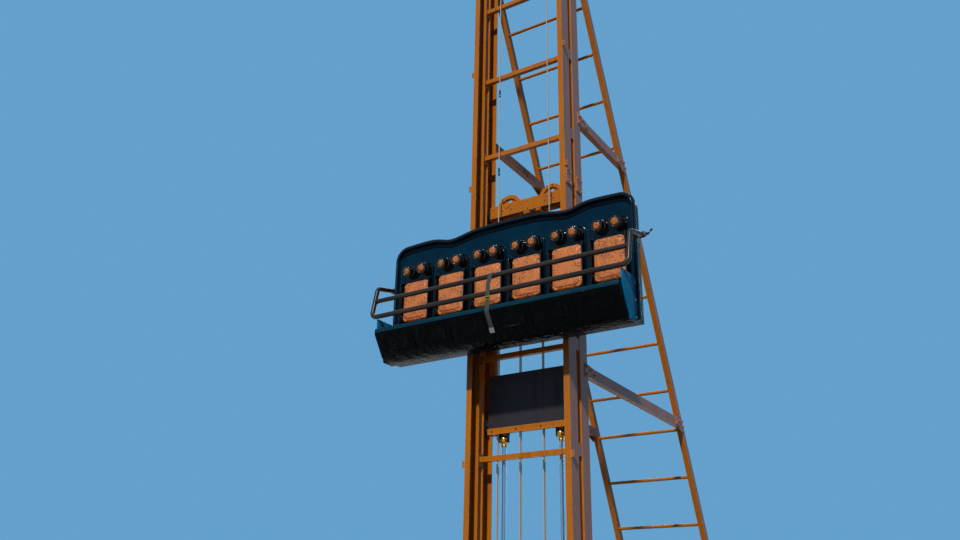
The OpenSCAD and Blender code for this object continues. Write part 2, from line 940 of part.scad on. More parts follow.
// Side outline of the bench: seat, rounded nose, sloping apron and belly
bench_side = [
    [face_y, -bench_drop + 60], [face_y - 12, -bench_drop + 42], [face_y - 28, -bench_drop + 10],
    [face_y - 48, -bench_drop], [bench_front + 34, -bench_drop], [bench_front + 16, -bench_drop - 5],
    [bench_front + 4, -bench_drop - 18], [bench_front, -bench_drop - 36],
    [bench_front + 4, -bench_drop - 56], [bench_front + 126, -bench_bottom + 62],
    [bench_front + 146, -bench_bottom + 36], [bench_front + 180, -bench_bottom + 14],
    [bench_front + 230, -bench_bottom], [face_y, -bench_bottom]
];

seat_w = 370;
seat_d = bench_reach - 110;
seat_mid_y = face_y - 60 - seat_d / 2;
pad_sink = 22;

module bench() {
    color(dark)
        on_car()
            difference() {
                side_shape(bench_side, -bench_half, bench_half);
                for (x = seat_x)
                    translate([x, seat_mid_y, -bench_drop - pad_sink])
                        linear_extrude(pad_sink + 1)
                            polygon(round_rect(seat_w, seat_d, 40));
                for (i = [-2:2])
                    side_shape([
                        [bench_front - 5, -bench_drop - 70], [bench_front + 16, -bench_drop - 62],
                        [bench_front + 140, -bench_bottom + 66], [bench_front + 112, -bench_bottom + 50]
                    ], i * seat_pitch - 9, i * seat_pitch + 9);
            }
}

module seat_pads() {
    color(pad_red)
        on_car()
            for (x = seat_x)
                translate([x, seat_mid_y, -bench_drop - pad_sink])
                    linear_extrude(pad_sink + 10)
                        polygon(round_rect(seat_w - 6, seat_d - 6, 38));
}

back_w = pad_width + 60;
back_low = bench_drop - 82;
pad_over_seat = 158;
pad_top = bench_drop - pad_over_seat - pad_height;
back_drop = pad_top - 190;
plate_face = skin_y - back_plate;
pod_x = 79;
pod_r = 60;
pod_len = 96;
pod_turn = 10;
// The pods look a little down, with their mouths 100 above the back pads
pod_pitch = 20;
pod_drop = pad_top - 100 - pod_len * sin(pod_pitch);

// Moulded pod that holds a head pad, about the Z axis with its mouth at the top
module pod() {
    rotate_extrude()
        polygon([
            [0, -24], [pod_r - 12, -24], [pod_r - 8, 0], [pod_r - 2, pod_len * 0.4], [pod_r, pod_len * 0.7],
            [pod_r - 1, pod_len - 10], [pod_r - 6, pod_len - 2], [pod_r - 12, pod_len],
            [pod_r - 18, pod_len - 4], [pod_r - 19, pod_len - 14], [0, pod_len - 14]
        ]);
}

module at_pod(side) {
    translate([side * pod_x, plate_face + 4, -pod_drop])
        rotate([0, 0, side * pod_turn])
            rotate([90 + pod_pitch, 0, 0])
                children();
}

// Black seat back: plate, side bolsters and two head pods
module seat_back() {
    front_shape(
        moved(round_rect(back_w, back_low - back_drop, 60), [0, -(back_low + back_drop) / 2]),
        plate_face, skin_y);
    for (side = [-1, 1])
        translate([side * (pad_width / 2 + 14), plate_face + 1, -back_low + 30])
            linear_extrude(back_low - pad_top - 20)
                polygon([[-13, 0], [-9, -48], [-3, -56], [3, -56], [9, -48], [13, 0]]);
    intersection() {
        union()
            for (side = [-1, 1])
                at_pod(side)
                    pod();
        span([-back_w / 2, plate_face - 2 * pod_len, -back_low], [back_w / 2, plate_face + 4, 0]);
    }
}

module seat_backs() {
    color(dark)
        on_car()
            for (x = seat_x)
                translate([x, 0, 0])
                    seat_back();
}

module back_pads() {
    mid = -pad_top - pad_height / 2;
    color(pad_red)
        on_car()
            for (x = seat_x) {
                front_shape(moved(round_rect(pad_width, pad_height, 55), [x, mid]),
                            plate_face - 24, plate_face);
                front_shape(moved(round_rect(pad_width - 22, pad_height - 22, 45), [x, mid]),
                            plate_face - 36, plate_face - 24);
            }
}

module headrest_pads() {
    color(pad_red)
        on_car()
            for (x = seat_x)
                translate([x, 0, 0])
                    for (side = [-1, 1])
                        at_pod(side)
                            translate([0, 0, pod_len - 14])
                                rotate_extrude()
                                    polygon([
                                        [0, 0], [pod_r - 21, 0], [pod_r - 22, 9],
                                        [pod_r - 27, 14], [0, 19]
                                    ]);
}

// Flat panels that close the bench at its ends
module end_panels() {
    color([0.07, 0.25, 0.42])
        on_car()
            both_sides()
                side_shape([
                    [face_y, -panel_top], [face_y - panel_reach, -panel_top - 6],
                    [face_y - panel_reach + 8, -bench_drop - 8],
                    [face_y - panel_reach + 66, -bench_drop - 150],
                    [face_y - panel_reach + 136, -bench_bottom + 50],
                    [face_y - panel_reach + 144, -bench_bottom], [face_y, -bench_bottom]
                ], bench_half, shell_half);
}

hinge_x0 = shell_half + 12;
boss_x0 = bar_x - bar_r - 1;
boss_x1 = bar_x + bar_r + 1;

// Hinge plates on the shell's ends, with a collar, the pin and its cap
module bar_hinges() {
    color(steel)
        on_car()
            both_sides() {
                side_shape(moved(round_rect(64, 150, 20), [hinge_y + 10, -hinge_drop]),
                           shell_half, hinge_x0);
                round_x(pin_r + 9, hinge_x0, boss_x0 - 1, hinge_y, -hinge_drop);
                round_x(pin_r, boss_x0 - 1, boss_x1 + 1, hinge_y, -hinge_drop);
                round_x(pin_r + 9, boss_x1 + 1, boss_x1 + 13, hinge_y, -hinge_drop);
            }
}

// Release handle outside the right hinge
module latch_handle() {
    color(dark)
        on_car()
            translate([boss_x1 + 13, hinge_y, -hinge_drop]) {
                rotate([0, 90, 0])
                    cylinder(r = 12, h = 30);
                translate([22, 0, 0])
                    rotate([-50, 0, 0]) {
                        cylinder(r = 7, h = 92);
                        translate([0, 0, 92])
                            cylinder(r = 12, h = 26);
                    }
            }
}

// The bar's plane leans back from its lower tube
bar_lean = 11.5;
arm_rise = bar_drop - hinge_drop - bar_upright * cos(bar_lean);
arm_run = hinge_y - bar_y - bar_upright * sin(bar_lean);
arm_turn = 90 - bar_lean - atan2(arm_rise, arm_run);
arm_len = norm([arm_run, arm_rise]);
bend_cut = bar_bend * tan(arm_turn / 2);
tie_up = 192;
// The arm is plugged into its bend by a short, slightly thinner end
arm_plug = 5;
plug_step = 0.5;

// Bent tube: two long tubes, a return bend at each lower corner, arms to the hinges
module bar_side() {
    translate([bar_x - bar_bend, 0, bar_bend])
        rotate([90, 0, 0])
            rotate([0, 0, -90])
                rotate_extrude(angle = 90)
                    translate([bar_bend, 0])
                        circle(r = bar_r);
    round_z(bar_r, bar_bend, bar_upright - bend_cut, bar_x, 0);
    translate([bar_x, bar_bend, bar_upright - bend_cut]) {
        rotate([0, -90, 0])
            rotate([0, 0, -90])
                rotate_extrude(angle = arm_turn)
                    translate([bar_bend, 0])
                        circle(r = bar_r);
        rotate([-arm_turn, 0, 0])
            translate([0, -bar_bend, -arm_plug])
                cylinder(r = bar_r - plug_step, h = arm_len - bend_cut - pin_r - 4 + arm_plug);
    }
}

module lap_bar() {
    color(dark)
        on_car()
            difference() {
                union() {
                    translate([0, bar_y, -bar_drop])
                        rotate([-bar_lean, 0, 0]) {
                            both_sides()
                                bar_side();
                            round_x(bar_r, -bar_x + bar_bend, bar_x - bar_bend, 0, 0);
                            round_x(bar_r - 1, -bar_x, bar_x, 0, tie_up);
                        }
                    both_sides()
                        round_x(pin_r + 16, boss_x0, boss_x1, hinge_y, -hinge_drop);
                }
                both_sides()
                    round_x(pin_r + run_gap, boss_x0 - 1, boss_x1 + 1, hinge_y, -hinge_drop);
            }
}

strap_w = 46;
strap_t = 4;
strap_lay = bar_r + seat_gap + strap_t / 2;
// The strap stands a little further out where it passes the lower tube
strap_out = strap_lay / cos(bar_lean) + seat_gap;
tie_y = bar_y + tie_up * sin(bar_lean);
tie_z = -bar_drop + tie_up * cos(bar_lean);
buckle_z = -bar_drop - 66;

// Webbing hooked over the upper tube and laid in front of the lower one
module strap_upper() {
    color([0.35, 0.36, 0.38])
        on_car()
            side_shape(band(concat(
                [for (a = [-60:20:180]) [tie_y + strap_lay * cos(a), tie_z + strap_lay * sin(a)]],
                [[bar_y - strap_out, -bar_drop], [bar_y - strap_out - 3, buckle_z + 22.5]]
            ), strap_t), -strap_w / 2, strap_w / 2);
}

module strap_buckle() {
    y = bar_y - strap_out - 3;
    color(steel)
        on_car()
            side_shape(moved(round_rect(18, 44, 5), [y, buckle_z]), -strap_w / 2 - 8, strap_w / 2 + 8);
}

// Webbing from the buckle over the bench's nose and down the apron to its plate
module strap_lower() {
    lay = strap_t / 2 + seat_gap;
    down = unit2([122, -186]);
    out = [down[1], -down[0]];
    start = [bench_front + 4, -bench_drop - 56] + out * (lay + 0.4);
    color([0.35, 0.36, 0.38])
        on_car() {
            side_shape(band([
                [bar_y - strap_out - 3, buckle_z - 22.5], [bench_front - 1 - lay, -bench_drop - 18],
                [bench_front - 1 - lay, -bench_drop - 36], start, start + down * 150
            ], strap_t), -strap_w / 2, strap_w / 2);
            side_shape([
                start + down * 150 - out * 2, start + down * 200 - out * 2,
                start + down * 200 + out * 6, start + down * 150 + out * 6
            ], -strap_w / 2 - 4, strap_w / 2 + 4);
        }
}

base_box();
base_sills();
base_cross_beams();
levelling_feet();
left_front_channel();
left_rear_channel();
right_front_channel();
right_rear_channel();
mast_rungs();
mast_fittings();
left_rear_rail();
right_rear_rail();
ladder_rungs();
stay_ties();
tie_gussets();
mast_head();
head_sheaves();
head_rope_turns();
ride_ropes();
hoist_falls();
rope_sockets();
ram_barrels();
ram_clamps();
lift_beam();
lift_posts();
lift_plate();
rod_eyes();
piston_rods();
lift_rollers();
sheave_rope_turns();
sheave_left();
sheave_right();
car_frame();
car_rollers();
rope_clamps();
back_shell();
shell_bead();
shell_ribs();
bench();
seat_pads();
seat_backs();
back_pads();
headrest_pads();
end_panels();
bar_hinges();
latch_handle();
strap_lower();
lap_bar();
strap_upper();
strap_buckle();
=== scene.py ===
"""Looks of the drop tower ride: finishes, soft pads, ropes, fasteners, camera and studio.

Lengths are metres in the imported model's frame: Z up, the bench faces -Y, X to the right in the photo.
"""

import json
import logging
import math
from contextlib import contextmanager
from dataclasses import dataclass
from enum import Enum
from typing import Callable, Iterable, Iterator, Sequence

import bmesh
import bpy
from mathutils import Matrix, Vector

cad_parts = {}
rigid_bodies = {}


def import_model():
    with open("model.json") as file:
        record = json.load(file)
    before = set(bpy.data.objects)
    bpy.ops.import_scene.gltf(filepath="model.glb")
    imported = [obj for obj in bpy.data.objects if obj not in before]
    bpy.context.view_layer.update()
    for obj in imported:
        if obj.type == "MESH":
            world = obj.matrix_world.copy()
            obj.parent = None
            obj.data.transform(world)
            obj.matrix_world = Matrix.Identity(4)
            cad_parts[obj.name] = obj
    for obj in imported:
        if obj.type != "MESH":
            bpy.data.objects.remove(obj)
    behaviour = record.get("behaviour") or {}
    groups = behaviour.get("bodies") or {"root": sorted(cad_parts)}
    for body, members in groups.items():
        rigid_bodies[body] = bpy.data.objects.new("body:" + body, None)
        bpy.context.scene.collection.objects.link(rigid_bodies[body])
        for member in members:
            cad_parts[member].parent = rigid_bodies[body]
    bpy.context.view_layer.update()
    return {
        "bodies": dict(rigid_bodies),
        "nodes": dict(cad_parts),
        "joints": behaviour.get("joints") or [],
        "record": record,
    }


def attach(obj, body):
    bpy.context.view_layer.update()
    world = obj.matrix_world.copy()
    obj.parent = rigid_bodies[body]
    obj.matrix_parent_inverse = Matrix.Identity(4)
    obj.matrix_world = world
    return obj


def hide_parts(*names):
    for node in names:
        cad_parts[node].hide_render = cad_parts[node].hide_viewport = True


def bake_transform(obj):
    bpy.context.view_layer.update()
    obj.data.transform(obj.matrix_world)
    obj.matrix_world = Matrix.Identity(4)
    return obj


LOG = logging.getLogger("drop_tower_ride")

Colour = tuple[float, float, float]
Place = tuple[float, float, float]


class Body(Enum):
    """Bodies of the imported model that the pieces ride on."""

    TOWER = "tower"
    LIFT = "lift_frame"
    CAR = "car"
    BAR = "bar"


class Slot(Enum):
    """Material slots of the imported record."""

    ORANGE = "orange_paint"
    SHADE = "shade_paint"
    BLACK_PAINT = "black_paint"
    BAR_PAINT = "bar_paint"
    ZINC = "zinc_steel"
    CAST = "cast_steel"
    ROPE = "wire_rope"
    CHROME = "chrome"
    BRASS = "brass"
    ROLLER = "roller_plastic"
    SHELL = "blue_shell"
    PANEL = "blue_panel"
    MOULDING = "black_moulding"
    RUBBER = "black_rubber"
    PAD = "pad_cloth"
    WEBBING = "webbing"


def linear(red: int, green: int, blue: int) -> Colour:
    """Linear colour of an sRGB colour given in steps of 0 to 255.

    Args:
        red: Red share.
        green: Green share.
        blue: Blue share.

    Returns:
        The colour as three linear values.
    """
    def step(value: float) -> float:
        """One channel made linear."""
        return value / 12.92 if value <= 0.04045 else ((value + 0.055) / 1.055) ** 2.4

    return step(red / 255), step(green / 255), step(blue / 255)


# Modelling helpers


def deselect_all() -> None:
    """Deselects every object."""
    bpy.ops.object.select_all(action="DESELECT")


def select_only(*objects: bpy.types.Object) -> None:
    """Selects these objects alone and makes the first one active.

    Args:
        objects: The objects to select.
    """
    deselect_all()
    for piece in objects:
        piece.select_set(True)
    bpy.context.view_layer.objects.active = objects[0]


def settle(piece: bpy.types.Object) -> bpy.types.Object:
    """Moves a piece's place into its mesh.

    Args:
        piece: The piece.

    Returns:
        The same piece.
    """
    select_only(piece)
    bpy.ops.object.transform_apply(location=True, rotation=True, scale=True)
    return piece


@contextmanager
def editing(piece: bpy.types.Object, kind: str = "FACE") -> Iterator[None]:
    """Edit mode on one piece.

    Args:
        piece: The piece to edit.
        kind: The selection mode, VERT, EDGE or FACE.

    Yields:
        Nothing; the mode is left at the end.
    """
    select_only(piece)
    bpy.ops.object.mode_set(mode="EDIT")
    bpy.ops.mesh.select_mode(type=kind)
    yield
    bpy.ops.object.mode_set(mode="OBJECT")


def pick(piece: bpy.types.Object, kind: str, test: Callable[[object], bool]) -> None:
    """Selects in edit mode what passes a test.

    Args:
        piece: The piece in edit mode.
        kind: The name of the elements: verts, edges or faces.
        test: What a selected element passes.
    """
    bpy.ops.mesh.select_all(action="DESELECT")
    mesh = bmesh.from_edit_mesh(piece.data)
    for element in getattr(mesh, kind):
        if test(element):
            element.select_set(True)
    bmesh.update_edit_mesh(piece.data)


def finished_with(piece: bpy.types.Object, kind: str, **settings: object) -> bpy.types.Object:
    """Adds a modifier to a piece and applies it.

    Args:
        piece: The piece.
        kind: The modifier's type.
        settings: The modifier's values.

    Returns:
        The same piece.
    """
    select_only(piece)
    modifier = piece.modifiers.new(kind.lower(), kind)
    for key, value in settings.items():
        setattr(modifier, key, value)
    bpy.ops.object.modifier_apply(modifier=modifier.name)
    return piece


def smooth(piece: bpy.types.Object, angle: float = 35) -> bpy.types.Object:
    """Shades a piece smooth up to an angle in degrees."""
    select_only(piece)
    bpy.ops.object.shade_smooth_by_angle(angle=math.radians(angle))
    return piece


def rounded(piece: bpy.types.Object, width: float, segments: int = 2, angle: float = 40) -> bpy.types.Object:
    """Rounds a piece's sharp edges and shades it.

    Args:
        piece: The piece.
        width: Width of the rounding.
        segments: Facets of the rounding.
        angle: Edges sharper than this many degrees are rounded.

    Returns:
        The same piece.
    """
    finished_with(
        piece, "BEVEL", width=width, segments=segments, limit_method="ANGLE",
        angle_limit=math.radians(angle), use_clamp_overlap=True,
    )
    return smooth(piece)


def outward(piece: bpy.types.Object) -> bpy.types.Object:
    """Merges doubles and turns every face of a closed piece outward."""
    with editing(piece):
        bpy.ops.mesh.select_all(action="SELECT")
        bpy.ops.mesh.remove_doubles(threshold=0.00002)
        bpy.ops.mesh.normals_make_consistent(inside=False)
    return piece


def block(name: str, low: Sequence[float], high: Sequence[float]) -> bpy.types.Object:
    """A box between two corners, to be shaped further.

    Args:
        name: The piece's name.
        low: Its low corner.
        high: Its high corner.

    Returns:
        The box.
    """
    a, b = Vector(low), Vector(high)
    deselect_all()
    bpy.ops.mesh.primitive_cube_add(size=1.0, location=(a + b) / 2)
    piece = bpy.context.object
    piece.name = name
    piece.scale = b - a
    return settle(piece)


def turned(name: str, profile: Sequence[tuple[float, float]], sides: int = 32) -> bpy.types.Object:
    """A turned piece about Z: a disc that is extruded and scaled ring by ring.

    Args:
        name: The piece's name.
        profile: Radius and height of each ring, from one end to the other.
        sides: Facets round the piece.

    Returns:
        The piece, closed at both ends.
    """
    radius, height = profile[0]
    deselect_all()
    bpy.ops.mesh.primitive_circle_add(
        vertices=sides, radius=radius, fill_type="NGON", location=(0, 0, height)
    )
    piece = settle(bpy.context.object)
    piece.name = name
    with editing(piece):
        bpy.ops.mesh.select_all(action="SELECT")
        for wide, high in profile[1:]:
            bpy.ops.mesh.extrude_region_move(TRANSFORM_OT_translate={"value": (0, 0, high - height)})
            share = wide / radius
            bpy.ops.transform.resize(value=(share, share, 1), center_override=(0, 0, high))
            radius, height = wide, high
    return outward(piece)


def placed(piece: bpy.types.Object, place: Matrix, name: str) -> bpy.types.Object:
    """A copy of a piece with its own mesh, at another place.

    Args:
        piece: The piece to copy.
        place: Where the copy goes.
        name: The copy's name.

    Returns:
        The copy.
    """
    made = piece.copy()
    made.data = piece.data.copy()
    made.data.transform(place)
    made.name = name
    bpy.context.scene.collection.objects.link(made)
    return made


def joined(name: str, pieces: Sequence[bpy.types.Object]) -> bpy.types.Object:
    """Several pieces as one mesh.

    Args:
        name: The name of the result.
        pieces: The pieces that go into it.

    Returns:
        The joined piece.
    """
    select_only(*pieces)
    if len(pieces) > 1:
        bpy.ops.object.join()
    made = bpy.context.object
    made.name = name
    return made


def repeated(name: str, pattern: bpy.types.Object, places: Iterable[Matrix]) -> bpy.types.Object:
    """One mesh with a copy of a pattern at each place; the pattern itself goes.

    Args:
        name: The name of the result.
        pattern: The piece that repeats.
        places: Where each copy goes.

    Returns:
        The joined copies.
    """
    made = joined(name, [placed(pattern, place, name) for place in places])
    bpy.data.objects.remove(pattern)
    return made


def facing(x: float, y: float, z: float, way: Sequence[float], turn: float = 0.0) -> Matrix:
    """A place whose local Z points along a direction.

    Args:
        x: Place along X.
        y: Place along Y.
        z: Place along Z.
        way: The direction.
        turn: Turn about that direction, in degrees.

    Returns:
        The placing matrix.
    """
    aim = Vector(way).to_track_quat("Z", "Y").to_matrix().to_4x4()
    return Matrix.Translation((x, y, z)) @ aim @ Matrix.Rotation(math.radians(turn), 4, "Z")


@dataclass
class TubeRun:
    """A tube made as by hand: a ring that is extruded and spun along its legs."""

    name: str
    radius: float
    start: Vector
    way: Vector
    sides: int = 24

    def begin(self) -> None:
        """Adds the first ring and enters edit mode with it selected."""
        deselect_all()
        aim = self.way.to_track_quat("Z", "Y").to_euler()
        bpy.ops.mesh.primitive_circle_add(
            vertices=self.sides, radius=self.radius, location=self.start, rotation=aim
        )
        self.piece = settle(bpy.context.object)
        self.piece.name = self.name
        self.at = self.start.copy()
        select_only(self.piece)
        bpy.ops.object.mode_set(mode="EDIT")
        bpy.ops.mesh.select_mode(type="EDGE")
        bpy.ops.mesh.select_all(action="SELECT")

    def straight(self, length: float) -> None:
        """Extrudes the open end ahead by a length."""
        step = self.way * length
        bpy.ops.mesh.extrude_edges_move(TRANSFORM_OT_translate={"value": step})
        self.at = self.at + step

    def bend(self, way: Vector, radius: float, steps: int = 10) -> None:
        """Spins the open end round a bend.

        Args:
            way: The direction of the tube after the bend.
            radius: Radius of the bend to the tube's middle.
            steps: Facets along the bend.
        """
        axis = self.way.cross(way).normalized()
        angle = self.way.angle(way)
        centre = self.at + axis.cross(self.way) * radius
        bpy.ops.mesh.spin(steps=steps, angle=angle, center=centre, axis=-axis)
        self.at = centre + Matrix.Rotation(angle, 3, axis) @ (self.at - centre)
        self.way = way.normalized()

    def end(self) -> bpy.types.Object:
        """Caps both ends of the tube and leaves edit mode.

        Returns:
            The closed tube.
        """
        bpy.ops.mesh.edge_face_add()
        pick(self.piece, "edges", lambda edge: edge.is_boundary)
        bpy.ops.mesh.edge_face_add()
        bpy.ops.object.mode_set(mode="OBJECT")
        return smooth(outward(self.piece), 50)


def merged_copy(node: str, name: str) -> bpy.types.Object:
    """A copy of a CAD node as one clean mesh, for a finer piece in its place.

    Args:
        node: The CAD node's name.
        name: The copy's name.

    Returns:
        The copy, free of its body.
    """
    source = bpy.data.objects[node]
    made = bpy.data.objects.new(name, source.data.copy())
    bpy.context.scene.collection.objects.link(made)
    select_only(made)
    bpy.ops.mesh.customdata_custom_splitnormals_clear()
    with editing(made):
        bpy.ops.mesh.select_all(action="SELECT")
        bpy.ops.mesh.remove_doubles(threshold=0.00002)
        bpy.ops.mesh.dissolve_limited(angle_limit=math.radians(0.6))
    return made


# Shader building


class Wiring:
    """Adds and links the nodes of one shader tree."""

    def __init__(self, tree: bpy.types.NodeTree) -> None:
        """Takes the tree that is filled."""
        self.tree = tree

    def add(self, kind: str, inputs: dict[str, object] | None = None, **settings: object) -> bpy.types.Node:
        """Adds a node.

        Args:
            kind: The node's type.
            inputs: A value or a socket for each input, by name or number.
            settings: The node's own properties.

        Returns:
            The node.
        """
        node = self.tree.nodes.new(kind)
        for key, value in settings.items():
            setattr(node, key, value)
        for key, value in (inputs or {}).items():
            self.put(node.inputs[key], value)
        return node

    def put(self, socket: bpy.types.NodeSocket, value: object) -> None:
        """Links or sets one input socket.

        Args:
            socket: The input socket.
            value: A socket to link from, or a value.
        """
        if isinstance(value, bpy.types.NodeSocket):
            self.tree.links.new(value, socket)
        elif socket.type == "RGBA" and len(value) == 3:
            socket.default_value = (*value, 1.0)
        else:
            socket.default_value = value

    def math(self, kind: str, first: object, second: object = 0.0) -> bpy.types.NodeSocket:
        """Result of a math node, clamped to 0 to 1.

        Args:
            kind: The operation.
            first: First value or socket.
            second: Second value or socket.

        Returns:
            The node's output.
        """
        node = self.add("ShaderNodeMath", {0: first, 1: second}, operation=kind, use_clamp=True)
        return node.outputs[0]

    def spread(
        self, value: object, low: float, high: float, start: float = 0.0, end: float = 1.0
    ) -> bpy.types.NodeSocket:
        """A value moved from one range to another and clamped."""
        node = self.add("ShaderNodeMapRange", {
            "Value": value, "From Min": low, "From Max": high, "To Min": start, "To Max": end,
        })
        return node.outputs["Result"]

    def blend(self, share: object, first: object, second: object) -> bpy.types.NodeSocket:
        """Colour between two colours.

        Args:
            share: Share of the second colour.
            first: First colour or socket.
            second: Second colour or socket.

        Returns:
            The mixed colour's socket.
        """
        node = self.add("ShaderNodeMix", data_type="RGBA")
        self.put(node.inputs[0], share)
        self.put(node.inputs[6], first)
        self.put(node.inputs[7], second)
        return node.outputs[2]

    def place(self) -> bpy.types.NodeSocket:
        """The object coordinates' socket."""
        return self.add("ShaderNodeTexCoord").outputs["Object"]

    def noise(
        self, scale: float, detail: float = 4.0, stretch: Place = (1, 1, 1), rough: float = 0.55
    ) -> bpy.types.NodeSocket:
        """Noise in object coordinates, stretched along the axes.

        Args:
            scale: Scale of the noise.
            detail: Its octaves.
            stretch: Scale along each axis.
            rough: Strength of the fine octaves.

        Returns:
            The noise value's socket.
        """
        mapping = self.add("ShaderNodeMapping", {"Vector": self.place(), "Scale": stretch})
        node = self.add("ShaderNodeTexNoise", {
            "Vector": mapping.outputs[0], "Scale": scale, "Detail": detail, "Roughness": rough,
        })
        return node.outputs["Fac"]


def placed_group(wiring: Wiring, tree: bpy.types.NodeTree, **values: object) -> bpy.types.Node:
    """Places a shader group with its own values.

    Args:
        wiring: The material's wiring.
        tree: The group.
        values: Its inputs by name.

    Returns:
        The group's node.
    """
    node = wiring.add("ShaderNodeGroup", node_tree=tree)
    for key, value in values.items():
        wiring.put(node.inputs[key], value)
    return node


@dataclass(frozen=True)
class Effect:
    """A shader group that several finishes share; it is built once."""

    name: str
    takes: tuple[tuple[str, object], ...]
    gives: tuple[str, ...]

    def tree(self) -> bpy.types.NodeTree:
        """The group's tree, built on first use."""
        found = bpy.data.node_groups.get(self.name)
        if found:
            return found
        tree = bpy.data.node_groups.new(self.name, "ShaderNodeTree")
        for name, start in self.takes:
            kind = "NodeSocketColor" if isinstance(start, tuple) else "NodeSocketFloat"
            socket = tree.interface.new_socket(name=name, in_out="INPUT", socket_type=kind)
            socket.default_value = (*start, 1.0) if isinstance(start, tuple) else start
        for name in self.gives:
            kind = "NodeSocketColor" if name == "Colour" else "NodeSocketFloat"
            tree.interface.new_socket(name=name, in_out="OUTPUT", socket_type=kind)
        wiring = Wiring(tree)
        self.wire(wiring, wiring.add("NodeGroupInput").outputs, wiring.add("NodeGroupOutput").inputs)
        return tree

    def wire(self, wiring: Wiring, takes: object, gives: object) -> None:
        """Builds the group's nodes between its inputs and outputs."""
        raise NotImplementedError


@dataclass(frozen=True)
class EdgeWear(Effect):
    """Mask that is 1 on a bare edge and 0 on open surface."""

    name: str = "edge_wear"
    takes: tuple[tuple[str, object], ...] = (("Reach", 0.006), ("Amount", 0.5))
    gives: tuple[str, ...] = ("Mask",)

    def wire(self, wiring: Wiring, takes: object, gives: object) -> None:
        """Compares a rounded normal with the flat one, broken up by noise."""
        bevel = wiring.add("ShaderNodeBevel", {"Radius": takes["Reach"]}, samples=4)
        flat = wiring.add("ShaderNodeNewGeometry").outputs["Normal"]
        turn = wiring.add("ShaderNodeVectorMath", {0: bevel.outputs[0], 1: flat}, operation="DOT_PRODUCT")
        edge = wiring.spread(turn.outputs["Value"], 0.99, 0.86)
        broken = wiring.spread(wiring.noise(24, 6), 0.40, 0.60)
        mask = wiring.math("MULTIPLY", wiring.math("MULTIPLY", edge, broken), takes["Amount"])
        wiring.put(gives["Mask"], mask)


@dataclass(frozen=True)
class Weathering(Effect):
    """Sun-faded, streaked and grimy colour of an outdoor surface, with its dirt as a mask."""

    name: str = "weathering"
    takes: tuple[tuple[str, object], ...] = (
        ("Paint", (0.5, 0.5, 0.5)), ("Faded", (0.6, 0.6, 0.6)), ("Grime", (0.1, 0.1, 0.1)),
        ("Fading", 0.4), ("Soiling", 0.4),
    )
    gives: tuple[str, ...] = ("Colour", "Dirt")

    def wire(self, wiring: Wiring, takes: object, gives: object) -> None:
        """Clouds of faded paint, streaks down the surface and small spots."""
        cloud = wiring.spread(wiring.noise(1.7, 6, (1, 1, 0.5)), 0.35, 0.68)
        pale = wiring.blend(wiring.math("MULTIPLY", cloud, takes["Fading"]), takes["Paint"], takes["Faded"])
        streak = wiring.spread(wiring.noise(5.0, 8, (5, 5, 0.35), 0.62), 0.50, 0.74)
        spot = wiring.spread(wiring.noise(38, 5), 0.58, 0.72, 0.0, 0.7)
        dirt = wiring.math("MULTIPLY", wiring.math("MAXIMUM", streak, spot), takes["Soiling"])
        wiring.put(gives["Colour"], wiring.blend(dirt, pale, takes["Grime"]))
        wiring.put(gives["Dirt"], dirt)


@dataclass(frozen=True)
class SettledDust(Effect):
    """Mask of the dust that lies on what faces up."""

    name: str = "settled_dust"
    takes: tuple[tuple[str, object], ...] = (("Amount", 0.3),)
    gives: tuple[str, ...] = ("Mask",)

    def wire(self, wiring: Wiring, takes: object, gives: object) -> None:
        """Reads how far the surface faces up, in patches."""
        normal = wiring.add("ShaderNodeNewGeometry").outputs["Normal"]
        up = wiring.add("ShaderNodeSeparateXYZ", {0: normal}).outputs["Z"]
        patchy = wiring.spread(wiring.noise(9, 6), 0.3, 0.7, 0.35, 1.0)
        lying = wiring.math("MULTIPLY", wiring.spread(up, 0.25, 0.95), patchy)
        wiring.put(gives["Mask"], wiring.math("MULTIPLY", lying, takes["Amount"]))


@dataclass(frozen=True)
class SideShading(Effect):
    """Masks of painted shade on the mast's sides: a mauve painted shade with painted sky reflection on outer
    faces, and a dark painted shade on inner faces.
    """

    name: str = "painted_side_shade"
    takes: tuple[tuple[str, object], ...] = (("Amount", 0.5), ("Greasing", 0.5))
    gives: tuple[str, ...] = ("OuterShade", "InnerShade")

    def wire(self, wiring: Wiring, takes: object, gives: object) -> None:
        """Tells outer from inner faces by their side and their place, in tall patches."""
        normal = wiring.add("ShaderNodeNewGeometry").outputs["Normal"]
        faces = wiring.add("ShaderNodeSeparateXYZ", {0: normal}).outputs["X"]
        place = wiring.add("ShaderNodeSeparateXYZ", {0: wiring.place()}).outputs["X"]
        # outer faces take a mauve painted shade with painted sky reflection; inner faces take a dark painted
        # shade
        outer = wiring.spread(wiring.math("MULTIPLY", faces, place), 0.36, 0.5)
        right = wiring.math("MULTIPLY", wiring.math("MULTIPLY", faces, -1.0), place)
        left = wiring.math("MULTIPLY", wiring.math("MULTIPLY", place, -1.0), faces)
        inner = wiring.spread(wiring.math("MAXIMUM", right, left), 0.36, 0.5)
        patchy = wiring.spread(wiring.noise(4, 6, (1, 1, 0.3)), 0.3, 0.65, 0.6, 1.0)
        for side, amount, mask in ((outer, "Amount", "OuterShade"), (inner, "Greasing", "InnerShade")):
            spotted = wiring.math("MULTIPLY", side, patchy)
            wiring.put(gives[mask], wiring.math("MULTIPLY", spotted, takes[amount]))


